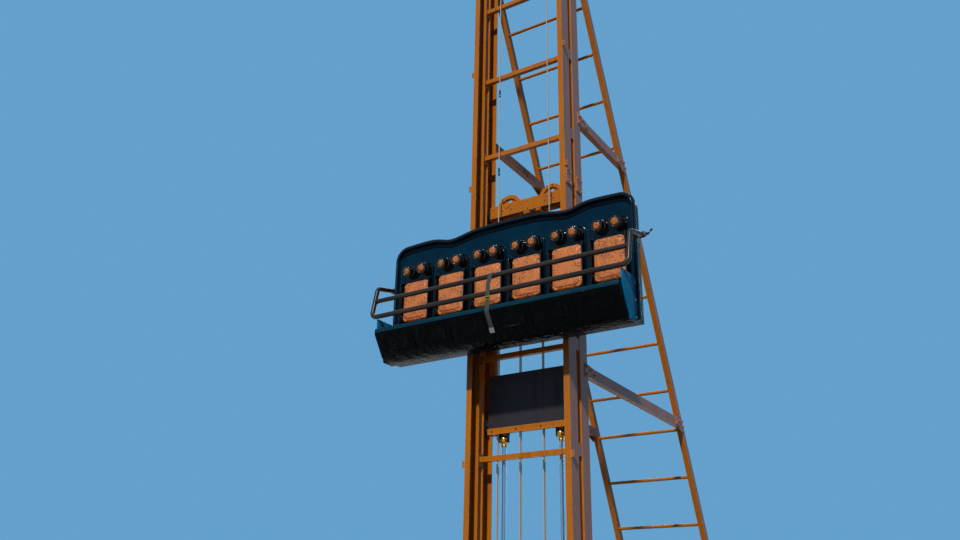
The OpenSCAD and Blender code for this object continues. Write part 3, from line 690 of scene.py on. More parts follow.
@dataclass(frozen=True)
class Scratches(Effect):
    """Height and mask of fine scratches in two crossing directions."""

    name: str = "scratches_and_glints"
    takes: tuple[tuple[str, object], ...] = (("Amount", 0.4),)
    gives: tuple[str, ...] = ("Mask",)

    def wire(self, wiring: Wiring, takes: object, gives: object) -> None:
        """Two noises drawn out along different axes."""
        along = wiring.spread(wiring.noise(30, 3, (0.25, 6, 6)), 0.66, 0.74)
        across = wiring.spread(wiring.noise(26, 3, (7, 7, 0.3)), 0.66, 0.74)
        both = wiring.math("MAXIMUM", along, across)
        here = wiring.spread(wiring.noise(3, 3), 0.42, 0.62)
        spotted = wiring.math("MULTIPLY", both, here)
        wiring.put(gives["Mask"], wiring.math("MULTIPLY", spotted, takes["Amount"]))


DUST = linear(150, 142, 130)
CAD_NAMES: set[str] = set()


@dataclass(frozen=True)
class Finish:
    """A surface finish with its own material."""

    name: str
    slot: Slot

    def material(self) -> bpy.types.Material:
        """The finish's material, built on first use."""
        found = bpy.data.materials.get(self.name)
        if found:
            return found
        made = bpy.data.materials.new(self.name)
        made.use_nodes = True
        made.node_tree.nodes.clear()
        wiring = Wiring(made.node_tree)
        shader = self.shader(wiring)
        wiring.add("ShaderNodeOutputMaterial", {"Surface": shader.outputs[0]})
        return made

    def shader(self, wiring: Wiring) -> bpy.types.Node:
        """Builds the finish's Principled shader in the material's own tree."""
        raise NotImplementedError

    def dress(self, *pieces: bpy.types.Object) -> None:
        """Puts the finish on pieces or CAD nodes."""
        for piece in pieces:
            piece.data.materials.clear()
            piece.data.materials.append(self.material())


@dataclass(frozen=True)
class OutdoorPaint(Finish):
    """Weathered paint on steel, with grime, dust and chipped edges, painted shade on its sides, and pale
    chips that also serve as painted edge highlights.
    """

    colour: Colour
    faded: Colour
    grime_and_shade: Colour
    # colour of worn edges; on the orange paint it is pale and also stands for painted edge highlights
    chip_and_highlight: Colour
    gloss: float = 0.42
    fading: float = 0.5
    soiling: float = 0.5
    wear: float = 0.6
    reach: float = 0.006
    dust: float = 0.25
    specular: float = 0.4
    # amounts and colour of the painted shade on the sides
    painted_side_shade: float = 0.0
    painted_inner_shade: float = 0.0
    side_shade_colour: Colour = linear(168, 146, 154)

    def shader(self, wiring: Wiring) -> bpy.types.Node:
        """Paint with painted side shade, dirt and chips, the chips partly painted edge highlights, over a
        fine orange peel.
        """
        weather = placed_group(
            wiring, Weathering().tree(), Paint=self.colour, Faded=self.faded, Grime=self.grime_and_shade,
            Fading=self.fading, Soiling=self.soiling,
        )
        wear = placed_group(wiring, EdgeWear().tree(), Reach=self.reach, Amount=self.wear)
        dust = placed_group(wiring, SettledDust().tree(), Amount=self.dust)
        sides = placed_group(wiring, SideShading().tree(), Amount=self.painted_side_shade, Greasing=self.painted_inner_shade)
        # painted shade and painted sky reflection on the outer sides, in mauve
        colour = wiring.blend(sides.outputs["OuterShade"], weather.outputs["Colour"], self.side_shade_colour)
        # painted shade on the inner sides, in the grime colour
        colour = wiring.blend(sides.outputs["InnerShade"], colour, self.grime_and_shade)
        # worn edges; on the orange paint the pale chips also serve as painted edge highlights
        colour = wiring.blend(wear.outputs["Mask"], colour, self.chip_and_highlight)
        colour = wiring.blend(dust.outputs["Mask"], colour, DUST)
        roughness = wiring.spread(weather.outputs["Dirt"], 0.0, 0.5, self.gloss, self.gloss + 0.3)
        height = wiring.blend(wear.outputs["Mask"], (0.6, 0.6, 0.6), (0.2, 0.2, 0.2))
        peel = wiring.blend(0.25, height, wiring.noise(170, 3))
        bump = wiring.add("ShaderNodeBump", {"Strength": 0.35, "Distance": 0.0015, "Height": peel})
        return wiring.add("ShaderNodeBsdfPrincipled", {
            "Base Color": colour, "Roughness": roughness, "Normal": bump.outputs[0],
            "Specular IOR Level": self.specular,
        })


@dataclass(frozen=True)
class BareMetal(Finish):
    """Metal with fine grain, stains and duller patches."""

    colour: Colour
    stain: Colour
    gloss: float = 0.3
    staining: float = 0.5
    metallic: float = 1.0
    grain: float = 120.0

    def shader(self, wiring: Wiring) -> bpy.types.Node:
        """Metal colour with stains and a finely scratched gloss."""
        weather = placed_group(
            wiring, Weathering().tree(), Paint=self.colour, Faded=self.colour, Grime=self.stain,
            Fading=0.2, Soiling=self.staining,
        )
        fine = wiring.noise(self.grain, 4)
        roughness = wiring.math(
            "ADD", wiring.spread(fine, 0.3, 0.7, self.gloss * 0.8, self.gloss * 1.25),
            wiring.spread(weather.outputs["Dirt"], 0.0, 1.0, 0.0, 0.35),
        )
        bump = wiring.add("ShaderNodeBump", {"Strength": 0.15, "Distance": 0.0008, "Height": fine})
        return wiring.add("ShaderNodeBsdfPrincipled", {
            "Base Color": weather.outputs["Colour"], "Metallic": self.metallic,
            "Roughness": roughness, "Normal": bump.outputs[0],
        })


@dataclass(frozen=True)
class WireRope(Finish):
    """Galvanised wire rope whose strands run round it."""

    colour: Colour
    shade: Colour
    strands: float = 210.0

    def shader(self, wiring: Wiring) -> bpy.types.Node:
        """Slanting bands of strands, darker between them as painted shade in the grooves."""
        lay = wiring.add("ShaderNodeMapping", {
            "Vector": wiring.place(), "Rotation": (math.radians(35), math.radians(35), 0),
        })
        wave = wiring.add("ShaderNodeTexWave", {
            "Vector": lay.outputs[0], "Scale": self.strands, "Distortion": 0.4,
        }, bands_direction="Z")
        strand = wave.outputs["Fac"]
        # the shade colour between the strands is painted shade in the grooves
        colour = wiring.blend(wiring.spread(strand, 0.0, 0.6), self.shade, self.colour)
        bump = wiring.add("ShaderNodeBump", {"Strength": 0.7, "Distance": 0.0012, "Height": strand})
        return wiring.add("ShaderNodeBsdfPrincipled", {
            "Base Color": colour, "Metallic": 0.1, "Roughness": 0.7, "Normal": bump.outputs[0],
            "Specular IOR Level": 0.2,
        })


@dataclass(frozen=True)
class Gelcoat(Finish):
    """Glossy moulded skin with faint clouds, scratches and dust; on the apron the pale scratches are painted
    glints.
    """

    colour: Colour
    cloud: Colour
    gloss: float = 0.2
    scratching_and_glints: float = 0.3
    dust: float = 0.12
    specular: float = 0.35
    coat: float = 0.0
    ripple: float = 0.02
    ripple_scale: float = 7.0
    ripple_depth: float = 0.004

    def shader(self, wiring: Wiring) -> bpy.types.Node:
        """Clouded colour with a slightly wavy, finely scratched gloss."""
        cloud = wiring.spread(wiring.noise(2.2, 5), 0.35, 0.7)
        scratches_and_glints = placed_group(wiring, Scratches().tree(), Amount=self.scratching_and_glints)
        dust = placed_group(wiring, SettledDust().tree(), Amount=self.dust)
        colour = wiring.blend(cloud, self.colour, self.cloud)
        # pale scratch marks; on the apron they are painted glints standing in for highlights on crumpled
        # gloss
        colour = wiring.blend(scratches_and_glints.outputs["Mask"], colour, (0.20, 0.22, 0.24))
        colour = wiring.blend(dust.outputs["Mask"], colour, DUST)
        roughness = wiring.math(
            "ADD", wiring.spread(wiring.noise(14, 4), 0.35, 0.7, self.gloss, self.gloss + 0.12),
            wiring.spread(dust.outputs["Mask"], 0.0, 0.4, 0.0, 0.3),
        )
        bump = wiring.add("ShaderNodeBump", {
            "Strength": self.ripple * 4, "Distance": self.ripple_depth,
            "Height": wiring.noise(self.ripple_scale, 2),
        })
        return wiring.add("ShaderNodeBsdfPrincipled", {
            "Base Color": colour, "Roughness": roughness, "Normal": bump.outputs[0],
            "Specular IOR Level": self.specular, "Coat Weight": self.coat, "Coat Roughness": 0.05,
        })


@dataclass(frozen=True)
class SoftBlack(Finish):
    """Matt black rubber or plastic with a fine grain and grey scuffs."""

    colour: Colour
    scuff: Colour
    gloss: float = 0.55
    grain: float = 260.0
    specular: float = 0.3
    dust: float = 0.18

    def shader(self, wiring: Wiring) -> bpy.types.Node:
        """Dark grained surface, paler where it is rubbed and dusty."""
        wear = placed_group(wiring, EdgeWear().tree(), Reach=0.004, Amount=0.5)
        dust = placed_group(wiring, SettledDust().tree(), Amount=self.dust)
        rubbed = wiring.spread(wiring.noise(9, 6), 0.52, 0.75, 0.0, 0.35)
        colour = wiring.blend(wiring.math("MAXIMUM", rubbed, wear.outputs["Mask"]), self.colour, self.scuff)
        colour = wiring.blend(dust.outputs["Mask"], colour, DUST)
        grain = wiring.noise(self.grain, 3)
        bump = wiring.add("ShaderNodeBump", {"Strength": 0.3, "Distance": 0.0006, "Height": grain})
        return wiring.add("ShaderNodeBsdfPrincipled", {
            "Base Color": colour, "Normal": bump.outputs[0], "Specular IOR Level": self.specular,
            "Roughness": wiring.spread(rubbed, 0.0, 0.35, self.gloss, self.gloss - 0.12),
        })


@dataclass(frozen=True)
class WornVinyl(Finish):
    """Tan and salmon vinyl whose skin is worn to specks, most of all towards the head."""

    low: Colour
    high: Colour
    low_speck: Colour
    high_speck: Colour
    wear: float = 0.85
    foot_z: float = 4.80
    head_z: float = 5.16

    def shader(self, wiring: Wiring) -> bpy.types.Node:
        """Leather grain under flecks that crowd where the pad is worn."""
        place = wiring.place()
        up = wiring.add("ShaderNodeSeparateXYZ", {0: place}).outputs["Z"]
        high = wiring.spread(wiring.math("ADD", up, wiring.spread(wiring.noise(5, 3), 0.3, 0.7, -0.1, 0.1)),
                             self.foot_z, self.head_z)
        base = wiring.blend(high, self.low, self.high)
        faded = wiring.spread(wiring.noise(16, 5), 0.35, 0.65, 0.0, 0.35)
        base = wiring.blend(faded, base, self.high)
        veil = wiring.math("MULTIPLY", wiring.spread(wiring.noise(6, 5), 0.42, 0.62, 0.0, 0.6), high)
        base = wiring.blend(veil, base, self.high_speck)
        fine = wiring.noise(54, 8, (1, 1, 1.4), 0.8)
        crowd = wiring.spread(wiring.noise(9, 5), 0.36, 0.64, 0.545, 0.475)
        crowd = wiring.math("SUBTRACT", crowd, wiring.math("MULTIPLY", high, 0.07))
        speck = wiring.spread(wiring.math("SUBTRACT", fine, crowd), 0.0, 0.04)
        worn = wiring.math("MULTIPLY", speck, self.wear)
        colour = wiring.blend(worn, base, wiring.blend(high, self.low_speck, self.high_speck))
        cell = wiring.add(
            "ShaderNodeTexVoronoi", {"Vector": place, "Scale": 420.0}, feature="DISTANCE_TO_EDGE"
        )
        height = wiring.blend(0.35, cell.outputs["Distance"], fine)
        bump = wiring.add("ShaderNodeBump", {"Strength": 0.3, "Distance": 0.0012, "Height": height})
        return wiring.add("ShaderNodeBsdfPrincipled", {
            "Base Color": colour, "Roughness": wiring.spread(worn, 0.0, 1.0, 0.42, 0.75),
            "Normal": bump.outputs[0], "Specular IOR Level": 0.3,
        })


@dataclass(frozen=True)
class WovenStrap(Finish):
    """Grey webbing woven across its width."""

    colour: Colour
    thread: Colour
    pitch: float = 420.0

    def shader(self, wiring: Wiring) -> bpy.types.Node:
        """Two crossing waves as warp and weft, with a soiled tone."""
        place = wiring.place()
        warp = wiring.add("ShaderNodeTexWave", {"Vector": place, "Scale": self.pitch}, bands_direction="X")
        weft = wiring.add(
            "ShaderNodeTexWave", {"Vector": place, "Scale": self.pitch * 0.7}, bands_direction="Z"
        )
        weave = wiring.math("MULTIPLY", warp.outputs["Fac"], weft.outputs["Fac"])
        soiled = wiring.spread(wiring.noise(24, 5), 0.4, 0.7, 0.0, 0.6)
        colour = wiring.blend(weave, self.colour, self.thread)
        colour = wiring.blend(soiled, colour, self.colour)
        bump = wiring.add("ShaderNodeBump", {"Strength": 0.6, "Distance": 0.001, "Height": weave})
        return wiring.add("ShaderNodeBsdfPrincipled", {
            "Base Color": colour, "Roughness": 0.8, "Normal": bump.outputs[0], "Sheen Weight": 0.2,
        })


# the side amounts paint a mauve shade on the mast's outer sides and a dark shade inside its channels
ORANGE_PAINT = OutdoorPaint(
    "ochre_paint", Slot.ORANGE, linear(182, 102, 2), linear(192, 116, 18), linear(84, 50, 22),
    # pale chips and a wide reach: worn edges that also serve as painted highlights on the flange lips
    linear(214, 176, 126), gloss=0.32, specular=0.28, dust=0.02, reach=0.007, wear=0.85, painted_side_shade=0.62,
    painted_inner_shade=0.85,
)
# painted shade: dark violet standing in for the orange lift plate, its bolts and rivets lying in shade
SHADE_PAINT = OutdoorPaint(
    "lift_plate_painted_shade", Slot.SHADE, linear(38, 32, 38), linear(52, 46, 50), linear(20, 18, 20),
    linear(96, 74, 56), gloss=0.5, fading=0.6, dust=0.1, specular=0.3,
)
BLACK_PAINT = OutdoorPaint(
    "ram_paint", Slot.BLACK_PAINT, linear(18, 21, 26), linear(34, 38, 44), linear(14, 14, 15),
    linear(120, 116, 110), gloss=0.3, dust=0.1,
)
BAR_PAINT = OutdoorPaint(
    "bar_powder_coat", Slot.BAR_PAINT, linear(34, 31, 29), linear(66, 58, 50), linear(20, 18, 16),
    linear(140, 130, 114), gloss=0.32, fading=0.7, soiling=0.3, wear=0.7, reach=0.004, dust=0.2,
    specular=0.28,
)
ZINC = BareMetal("zinc_plate", Slot.ZINC, linear(142, 143, 144), linear(86, 78, 70), gloss=0.4, staining=0.7)
CAST = BareMetal(
    "machined_casting", Slot.CAST, linear(120, 116, 112), linear(60, 48, 40), gloss=0.5, metallic=0.8
)
CHROME = BareMetal(
    "hard_chrome", Slot.CHROME, linear(228, 229, 232), linear(150, 148, 142), gloss=0.1, staining=0.2
)
BRASS = BareMetal("yellow_plate", Slot.BRASS, linear(214, 160, 60), linear(110, 78, 34), gloss=0.28)
ROPE = WireRope("galvanised_rope", Slot.ROPE, linear(222, 216, 202), linear(138, 132, 120))
TRIM = BareMetal("dull_trim", Slot.ZINC, linear(150, 142, 132), linear(70, 62, 54), gloss=0.3, staining=0.8)
ROLLER = SoftBlack("roller_nylon", Slot.ROLLER, linear(30, 30, 31), linear(78, 76, 72))
SHELL = Gelcoat(
    "petrol_gelcoat", Slot.SHELL, linear(1, 33, 52), linear(2, 42, 64), gloss=0.2, specular=0.12,
    scratching_and_glints=0.03, dust=0.03,
)
# painted highlight: a pale colour on the shell's side ribs, standing in for the highlights along them
RIB_HIGHLIGHT = Gelcoat(
    "rib_painted_highlight", Slot.SHELL, linear(120, 142, 140), linear(146, 164, 160), gloss=0.36, specular=1.0,
    scratching_and_glints=0.05, dust=0.05,
)
# painted highlight: the teal colour of the nose rail stands in for the highlight along the bench's front edge
NOSE_HIGHLIGHT = Gelcoat(
    "nose_painted_highlight", Slot.SHELL, linear(1, 46, 62), linear(4, 56, 74), gloss=0.22, specular=0.2,
    scratching_and_glints=0.2, dust=0.05,
)
PANEL = Gelcoat(
    "blue_gelcoat", Slot.PANEL, linear(1, 104, 152), linear(2, 116, 166), gloss=0.25, specular=0.1,
    scratching_and_glints=0.06, dust=0.02,
)
MOULDING = Gelcoat(
    "black_gelcoat", Slot.MOULDING, linear(1, 3, 5), linear(1, 7, 10), gloss=0.09, specular=0.4,
    scratching_and_glints=0.03, dust=0.02,
)
POD = Gelcoat(
    "pod_gelcoat", Slot.MOULDING, linear(1, 2, 4), linear(1, 5, 8), gloss=0.1, specular=0.35,
    scratching_and_glints=0.02, dust=0.0, coat=0.5,
)
# its many pale scratches are painted glints that stand in for highlights on the crumpled gloss
APRON = Gelcoat(
    "apron_gelcoat", Slot.MOULDING, linear(1, 4, 6), linear(1, 9, 12), gloss=0.24, specular=0.045,
    scratching_and_glints=0.4, dust=0.0, ripple=0.22, ripple_scale=13.0, ripple_depth=0.03,
)
RUBBER = SoftBlack(
    "edge_rubber", Slot.RUBBER, linear(7, 8, 10), linear(30, 31, 33), gloss=0.3, specular=0.4, dust=0.05,
)
VINYL = WornVinyl(
    "salmon_vinyl", Slot.PAD, linear(218, 134, 74), linear(204, 112, 88), linear(104, 54, 34),
    linear(104, 98, 90),
)
WEBBING = WovenStrap("grey_webbing", Slot.WEBBING, linear(40, 43, 48), linear(86, 90, 96))


@dataclass
class Studio:
    """Camera at the photo's place, plain pale floor, soft light."""

    eye: Place = (4.2306, -7.4251, 1.6117)
    yaw: float = 32.86
    pitch: float = 22.85
    roll: float = 1.09
    lens: float = 33.5
    sensor: float = 36.0
    floor_size: float = 1200.0
    backdrop: Colour = (0.128, 0.352, 0.598)

    def camera(self) -> None:
        """Adds the camera that looks as the photographer did."""
        deselect_all()
        bpy.ops.object.camera_add(location=self.eye)
        camera = bpy.context.object
        camera.name = "photo_camera"
        camera.data.lens = self.lens
        camera.data.sensor_width = self.sensor
        camera.data.clip_end = 200
        turn = Matrix.Rotation(math.radians(self.yaw), 4, "Z")
        lift = Matrix.Rotation(math.radians(90 + self.pitch), 4, "X")
        tilt = Matrix.Rotation(math.radians(self.roll), 4, "Z")
        camera.matrix_world = Matrix.Translation(self.eye) @ turn @ lift @ tilt
        bpy.context.scene.camera = camera

    def seen(self, wiring: Wiring) -> bpy.types.NodeSocket:
        """Mask that is 1 for what the camera, gloss and glass see, and 0 for soft light."""
        path = wiring.add("ShaderNodeLightPath").outputs
        direct = wiring.math("MAXIMUM", path["Is Camera Ray"], path["Is Glossy Ray"])
        return wiring.math("MAXIMUM", direct, path["Is Transmission Ray"])

    def floor(self) -> None:
        """Adds the pale floor."""
        deselect_all()
        bpy.ops.mesh.primitive_plane_add(size=self.floor_size, location=(0, 2, -0.001))
        floor = settle(bpy.context.object)
        floor.name = "studio_floor"
        made = bpy.data.materials.new("floor_screed")
        made.use_nodes = True
        made.node_tree.nodes.clear()
        wiring = Wiring(made.node_tree)
        tone = wiring.blend(wiring.noise(0.8, 4), (0.66, 0.67, 0.68), (0.70, 0.71, 0.71))
        tone = wiring.blend(self.seen(wiring), (0.08, 0.08, 0.08), tone)
        shader = wiring.add("ShaderNodeBsdfPrincipled", {"Base Color": tone, "Roughness": 0.8})
        wiring.add("ShaderNodeOutputMaterial", {"Surface": shader.outputs[0]})
        floor.data.materials.append(made)

    def world(self) -> None:
        """Lights the scene evenly, and shows the sky backdrop to camera, gloss and glass."""
        world = bpy.data.worlds.new("studio_air")
        bpy.context.scene.world = world
        world.use_nodes = True
        world.node_tree.nodes.clear()
        wiring = Wiring(world.node_tree)
        air = wiring.add("ShaderNodeBackground", {"Color": (0.72, 0.84, 1.0), "Strength": 0.14})
        backdrop = wiring.add("ShaderNodeBackground", {"Color": self.backdrop, "Strength": 1.0})
        mixed = wiring.add("ShaderNodeMixShader", {
            0: self.seen(wiring), 1: air.outputs[0], 2: backdrop.outputs[0],
        })
        wiring.add("ShaderNodeOutputWorld", {"Surface": mixed.outputs[0]})

    def lamp(self, name: str, toward: Place, strength: float, spread: float, colour: Colour) -> None:
        """Adds a sun lamp.

        Args:
            name: The lamp's name.
            toward: The direction that the light travels.
            strength: Its strength.
            spread: Its angular width in degrees.
            colour: Its colour.
        """
        deselect_all()
        bpy.ops.object.light_add(type="SUN", location=(0, 0, 12))
        lamp = bpy.context.object
        lamp.name = name
        lamp.data.energy = strength
        lamp.data.angle = math.radians(spread)
        lamp.data.color = colour
        lamp.rotation_euler = Vector(toward).to_track_quat("-Z", "Y").to_euler()

    def build(self) -> None:
        """Sets the whole stage."""
        self.camera()
        self.floor()
        self.world()
        self.lamp("key_light", (-0.18, 0.75, -0.64), 2.9, 3, (1.0, 0.96, 0.90))
        self.lamp("back_light", (0.40, -0.82, -0.41), 1.3, 40, (0.92, 0.96, 1.0))
        bpy.context.scene.view_settings.view_transform = "Standard"
        LOG.info("studio: camera, floor, world and two lamps")


@dataclass
class PaintShop:
    """Dresses the CAD nodes whose shapes stay."""

    jobs: tuple[tuple[Finish, tuple[str, ...]], ...] = (
        (ORANGE_PAINT, (
            "base_box", "base_sills", "base_cross_beams", "left_front_channel", "left_rear_channel",
            "right_front_channel", "right_rear_channel", "mast_rungs", "mast_fittings", "left_rear_rail",
            "right_rear_rail", "ladder_rungs", "stay_ties", "tie_gussets", "mast_head", "lift_beam",
            "lift_posts", "sheave_left", "sheave_right", "car_frame", "ram_clamps",
        )),
        (ZINC, ("levelling_feet", "rope_sockets", "rope_clamps", "bar_hinges", "strap_buckle")),
        (CAST, ("head_sheaves",)),
        (ROPE, ("ride_ropes", "head_rope_turns", "sheave_rope_turns", "hoist_falls")),
        (BLACK_PAINT, ("ram_barrels", "latch_handle")),
        (BAR_PAINT, ("lap_bar",)),
        (CHROME, ("piston_rods",)),
        (BRASS, ("rod_eyes",)),
        (ROLLER, ("lift_rollers", "car_rollers")),
        # the lift plate in painted shade
        (SHADE_PAINT, ("lift_plate",)),
        (SHELL, ("back_shell",)),
        # shell ribs in a pale painted highlight
        (RIB_HIGHLIGHT, ("shell_ribs",)),
        (PANEL, ("end_panels",)),
        (MOULDING, ("seat_backs",)),
        (APRON, ("bench",)),
        (RUBBER, ("shell_bead",)),
        (VINYL, ("back_pads", "headrest_pads", "seat_pads")),
        (WEBBING, ("strap_upper", "strap_lower")),
    )

    def build(self) -> None:
        """Gives each node its finish."""
        for finish, nodes in self.jobs:
            for node in nodes:
                finish.dress(bpy.data.objects[node])
            LOG.info("%s on %d nodes", finish.name, len(nodes))


def mounted(piece: bpy.types.Object, finish: Finish, body: Body, *nodes: str) -> bpy.types.Object:
    """Dresses a piece, lets it ride on a body and puts it in place of CAD nodes.

    Args:
        piece: The finished piece.
        finish: Its finish.
        body: The body that it moves with.
        nodes: The CAD nodes that it stands for.

    Returns:
        The same piece.
    """
    finish.dress(piece)
    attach(piece, body.value)
    if nodes:
        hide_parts(*nodes)
    LOG.info("%s on %s, %d faces", piece.name, body.value, len(piece.data.polygons))
    return piece


def slab(
    name: str, width: float, height: float, front: float, back: float, corner: float
) -> bpy.types.Object:
    """A flat block about the Y axis with rounded corners.

    Args:
        name: The piece's name.
        width: Its size along X.
        height: Its size along Z.
        front: Its front in Y.
        back: Its back in Y.
        corner: Radius of its corners.

    Returns:
        The slab.
    """
    piece = block(name, (-width / 2, front, -height / 2), (width / 2, back, height / 2))
    with editing(piece, "EDGE"):
        pick(piece, "edges", lambda e: abs(e.verts[0].co.y - e.verts[1].co.y) > 0.001)
        bpy.ops.mesh.bevel(offset=corner, segments=8, affect="EDGES")
    return piece


@dataclass(frozen=True)
class Cushion:
    """How a closed blank is puffed up into a cushion."""

    voxel: float
    pressure: float
    cap: float
    stiffness: float = 12.0

    def puff(self, blank: bpy.types.Object, held: Callable[[Vector], bool]) -> bpy.types.Object:
        """Remeshes the blank, blows it up as cloth and smooths it.

        Args:
            blank: The closed blank, slightly smaller than the cushion.
            held: Tells which points lie on the backing and stay.

        Returns:
            The cushion.
        """
        finished_with(blank, "REMESH", mode="VOXEL", voxel_size=self.voxel)
        self.blow(blank, held)
        finished_with(blank, "SMOOTH", factor=0.5, iterations=6)
        finished_with(blank, "SUBSURF", levels=1, render_levels=1)
        return smooth(blank, 60)

    def blow(self, blank: bpy.types.Object, held: Callable[[Vector], bool]) -> None:
        """Runs the cloth under pressure and caps how far each point moves.

        Args:
            blank: The remeshed blank.
            held: Tells which points stay.
        """
        start = [vertex.co.copy() for vertex in blank.data.vertices]
        group = blank.vertex_groups.new(name="held")
        group.add([i for i, place in enumerate(start) if held(place)], 1.0, "ADD")
        select_only(blank)
        cloth = blank.modifiers.new("cloth", "CLOTH")
        cloth.settings.vertex_group_mass = "held"
        cloth.settings.use_pressure = True
        cloth.settings.uniform_pressure_force = self.pressure
        cloth.settings.tension_stiffness = self.stiffness
        cloth.settings.compression_stiffness = self.stiffness
        cloth.settings.effector_weights.gravity = 0
        for frame in range(1, 21):
            bpy.context.scene.frame_set(frame)
        bpy.ops.object.modifier_apply(modifier="cloth")
        bpy.context.scene.frame_set(1)
        for vertex, place in zip(blank.data.vertices, start):
            step = vertex.co - place
            if step.length > self.cap:
                vertex.co = place + step * (self.cap / step.length)
        blank.vertex_groups.clear()


@dataclass
class SeatRow:
    """Six moulded seat backs with bolsters, head pods and soft pads."""

    pitch: float = 0.446
    count: int = 6
    plate_width: float = 0.396
    plate_low: float = 4.652
    plate_high: float = 5.378
    plate_front: float = -0.374
    plate_back: float = -0.349
    pad_width: float = 0.336
    pad_low: float = 4.728
    pad_high: float = 5.188
    pad_thick: float = 0.036
    pod_x: float = 0.079
    pod_z: float = 5.3208
    pod_turn: float = 10.0
    pod_pitch: float = 20.0
    seat_width: float = 0.364
    seat_deep: float = 0.224
    seat_y: float = -0.579
    seat_low: float = 4.549

    def seats(self) -> list[float]:
        """The middle of each seat along X."""
        return [(i - (self.count - 1) / 2) * self.pitch for i in range(self.count)]

    def at_pod(self, side: int) -> Matrix:
        """Place of a pod whose mouth looks along its local Z.

        Args:
            side: -1 for the left pod and 1 for the right one.

        Returns:
            The placing matrix, for a seat at x = 0.
        """
        turn = Matrix.Rotation(math.radians(side * self.pod_turn), 4, "Z")
        lean = Matrix.Rotation(math.radians(90 + self.pod_pitch), 4, "X")
        return Matrix.Translation((side * self.pod_x, self.plate_front + 0.004, self.pod_z)) @ turn @ lean

    def plate(self) -> bpy.types.Object:
        """The moulded plate of one seat back, with a raised border."""
        height = self.plate_high - self.plate_low
        piece = slab("plate", self.plate_width, height, self.plate_front, self.plate_back, 0.06)
        with editing(piece):
            pick(piece, "faces", lambda f: f.normal.y < -0.9)
            bpy.ops.mesh.inset(thickness=0.014)
            bpy.ops.mesh.inset(thickness=0.006, depth=-0.005)
        settled = placed(piece, Matrix.Translation((0, 0, (self.plate_low + self.plate_high) / 2)), "plate")
        bpy.data.objects.remove(piece)
        return rounded(settled, 0.003, 2, 30)

    def bolster(self, side: int) -> bpy.types.Object:
        """One side bolster, a tapered ridge with rounded ends.

        Args:
            side: -1 for the left one and 1 for the right one.

        Returns:
            The bolster.
        """
        x = side * (self.pad_width / 2 + 0.014)
        piece = block("bolster", (x - 0.013, -0.430, 4.682), (x + 0.013, -0.372, 5.198))
        with editing(piece):
            pick(piece, "faces", lambda f: f.normal.y < -0.9)
            bpy.ops.transform.resize(value=(0.55, 1, 0.92), center_override=(x, -0.430, 4.90))
        rounded(piece, 0.006, 4, 30)
        return piece

    def pod(self) -> bpy.types.Object:
        """One head pod with its grooves and glossy lip, mouth up."""
        return smooth(turned("pod", (
            (0.048, -0.024), (0.056, -0.004), (0.0625, 0.006), (0.0668, 0.013), (0.0680, 0.020),
            (0.0665, 0.027), (0.0625, 0.032), (0.0580, 0.034), (0.0572, 0.044), (0.0570, 0.053),
            (0.0560, 0.055), (0.0560, 0.059), (0.0588, 0.062), (0.0604, 0.070), (0.0605, 0.079),
            (0.0590, 0.0880), (0.0552, 0.0942), (0.0498, 0.0964), (0.0446, 0.0945), (0.0414, 0.0892),
            (0.0402, 0.0830), (0.0395, 0.0815),
        ), 48), 50)

    def pods(self) -> bpy.types.Object:
        """The two head pods of a seat at x = 0, cut flat at the plate."""
        pods = []
        pattern = self.pod()
        for side in (-1, 1):
            made = placed(pattern, self.at_pod(side), "pod")
            with editing(made):
                bpy.ops.mesh.select_all(action="SELECT")
                bpy.ops.mesh.bisect(
                    plane_co=(0, self.plate_front + 0.006, 0), plane_no=(0, 1, 0),
                    use_fill=True, clear_outer=True,
                )
            pods.append(smooth(made, 50))
        bpy.data.objects.remove(pattern)
        return joined("pods", pods)

    def backs(self) -> None:
        """Builds all seat backs as one moulding row."""
        places = [Matrix.Translation((x, 0, 0)) for x in self.seats()]
        back = joined("seat_back", [self.plate(), self.bolster(-1), self.bolster(1)])
        mounted(repeated("seat_back_mouldings", back, places), MOULDING, Body.CAR, "seat_backs")
        mounted(repeated("head_pods", self.pods(), places), POD, Body.CAR, "seat_backs")

    def trims(self) -> None:
        """Builds the bright ring between each pod's lip and its pad."""
        pattern = turned("trim", (
            (0.0400, 0.0860), (0.0412, 0.0880), (0.0414, 0.0905), (0.0408, 0.0922), (0.0396, 0.0926),
            (0.0386, 0.0915), (0.0382, 0.0885), (0.0386, 0.0860),
        ), 40)
        smooth(pattern, 60)
        places = [Matrix.Translation((x, 0, 0)) @ self.at_pod(side) for x in self.seats() for side in (-1, 1)]
        mounted(repeated("head_pod_trims", pattern, places), TRIM, Body.CAR)

    def back_pads(self) -> None:
        """Blows up one back pad, stitches it and copies it to every seat."""
        height = self.pad_high - self.pad_low
        front = self.plate_front - self.pad_thick
        pattern = slab("pad", self.pad_width - 0.012, height - 0.012, front + 0.014, self.plate_front, 0.052)
        finished_with(pattern, "BEVEL", width=0.007, segments=2, limit_method="ANGLE", angle_limit=0.6)
        Cushion(0.0065, 3.0, 0.012, 25.0).puff(pattern, lambda p: p.y > self.plate_front - 0.003)
        self.stitch(pattern, self.pad_width - 0.012, height - 0.012)
        middle = (self.pad_low + self.pad_high) / 2
        for number, x in enumerate(self.seats(), 1):
            piece = placed(pattern, Matrix.Translation((x, 0, middle)), f"back_pad_{number}")
            mounted(piece, VINYL, Body.CAR, "back_pads")
        bpy.data.objects.remove(pattern)

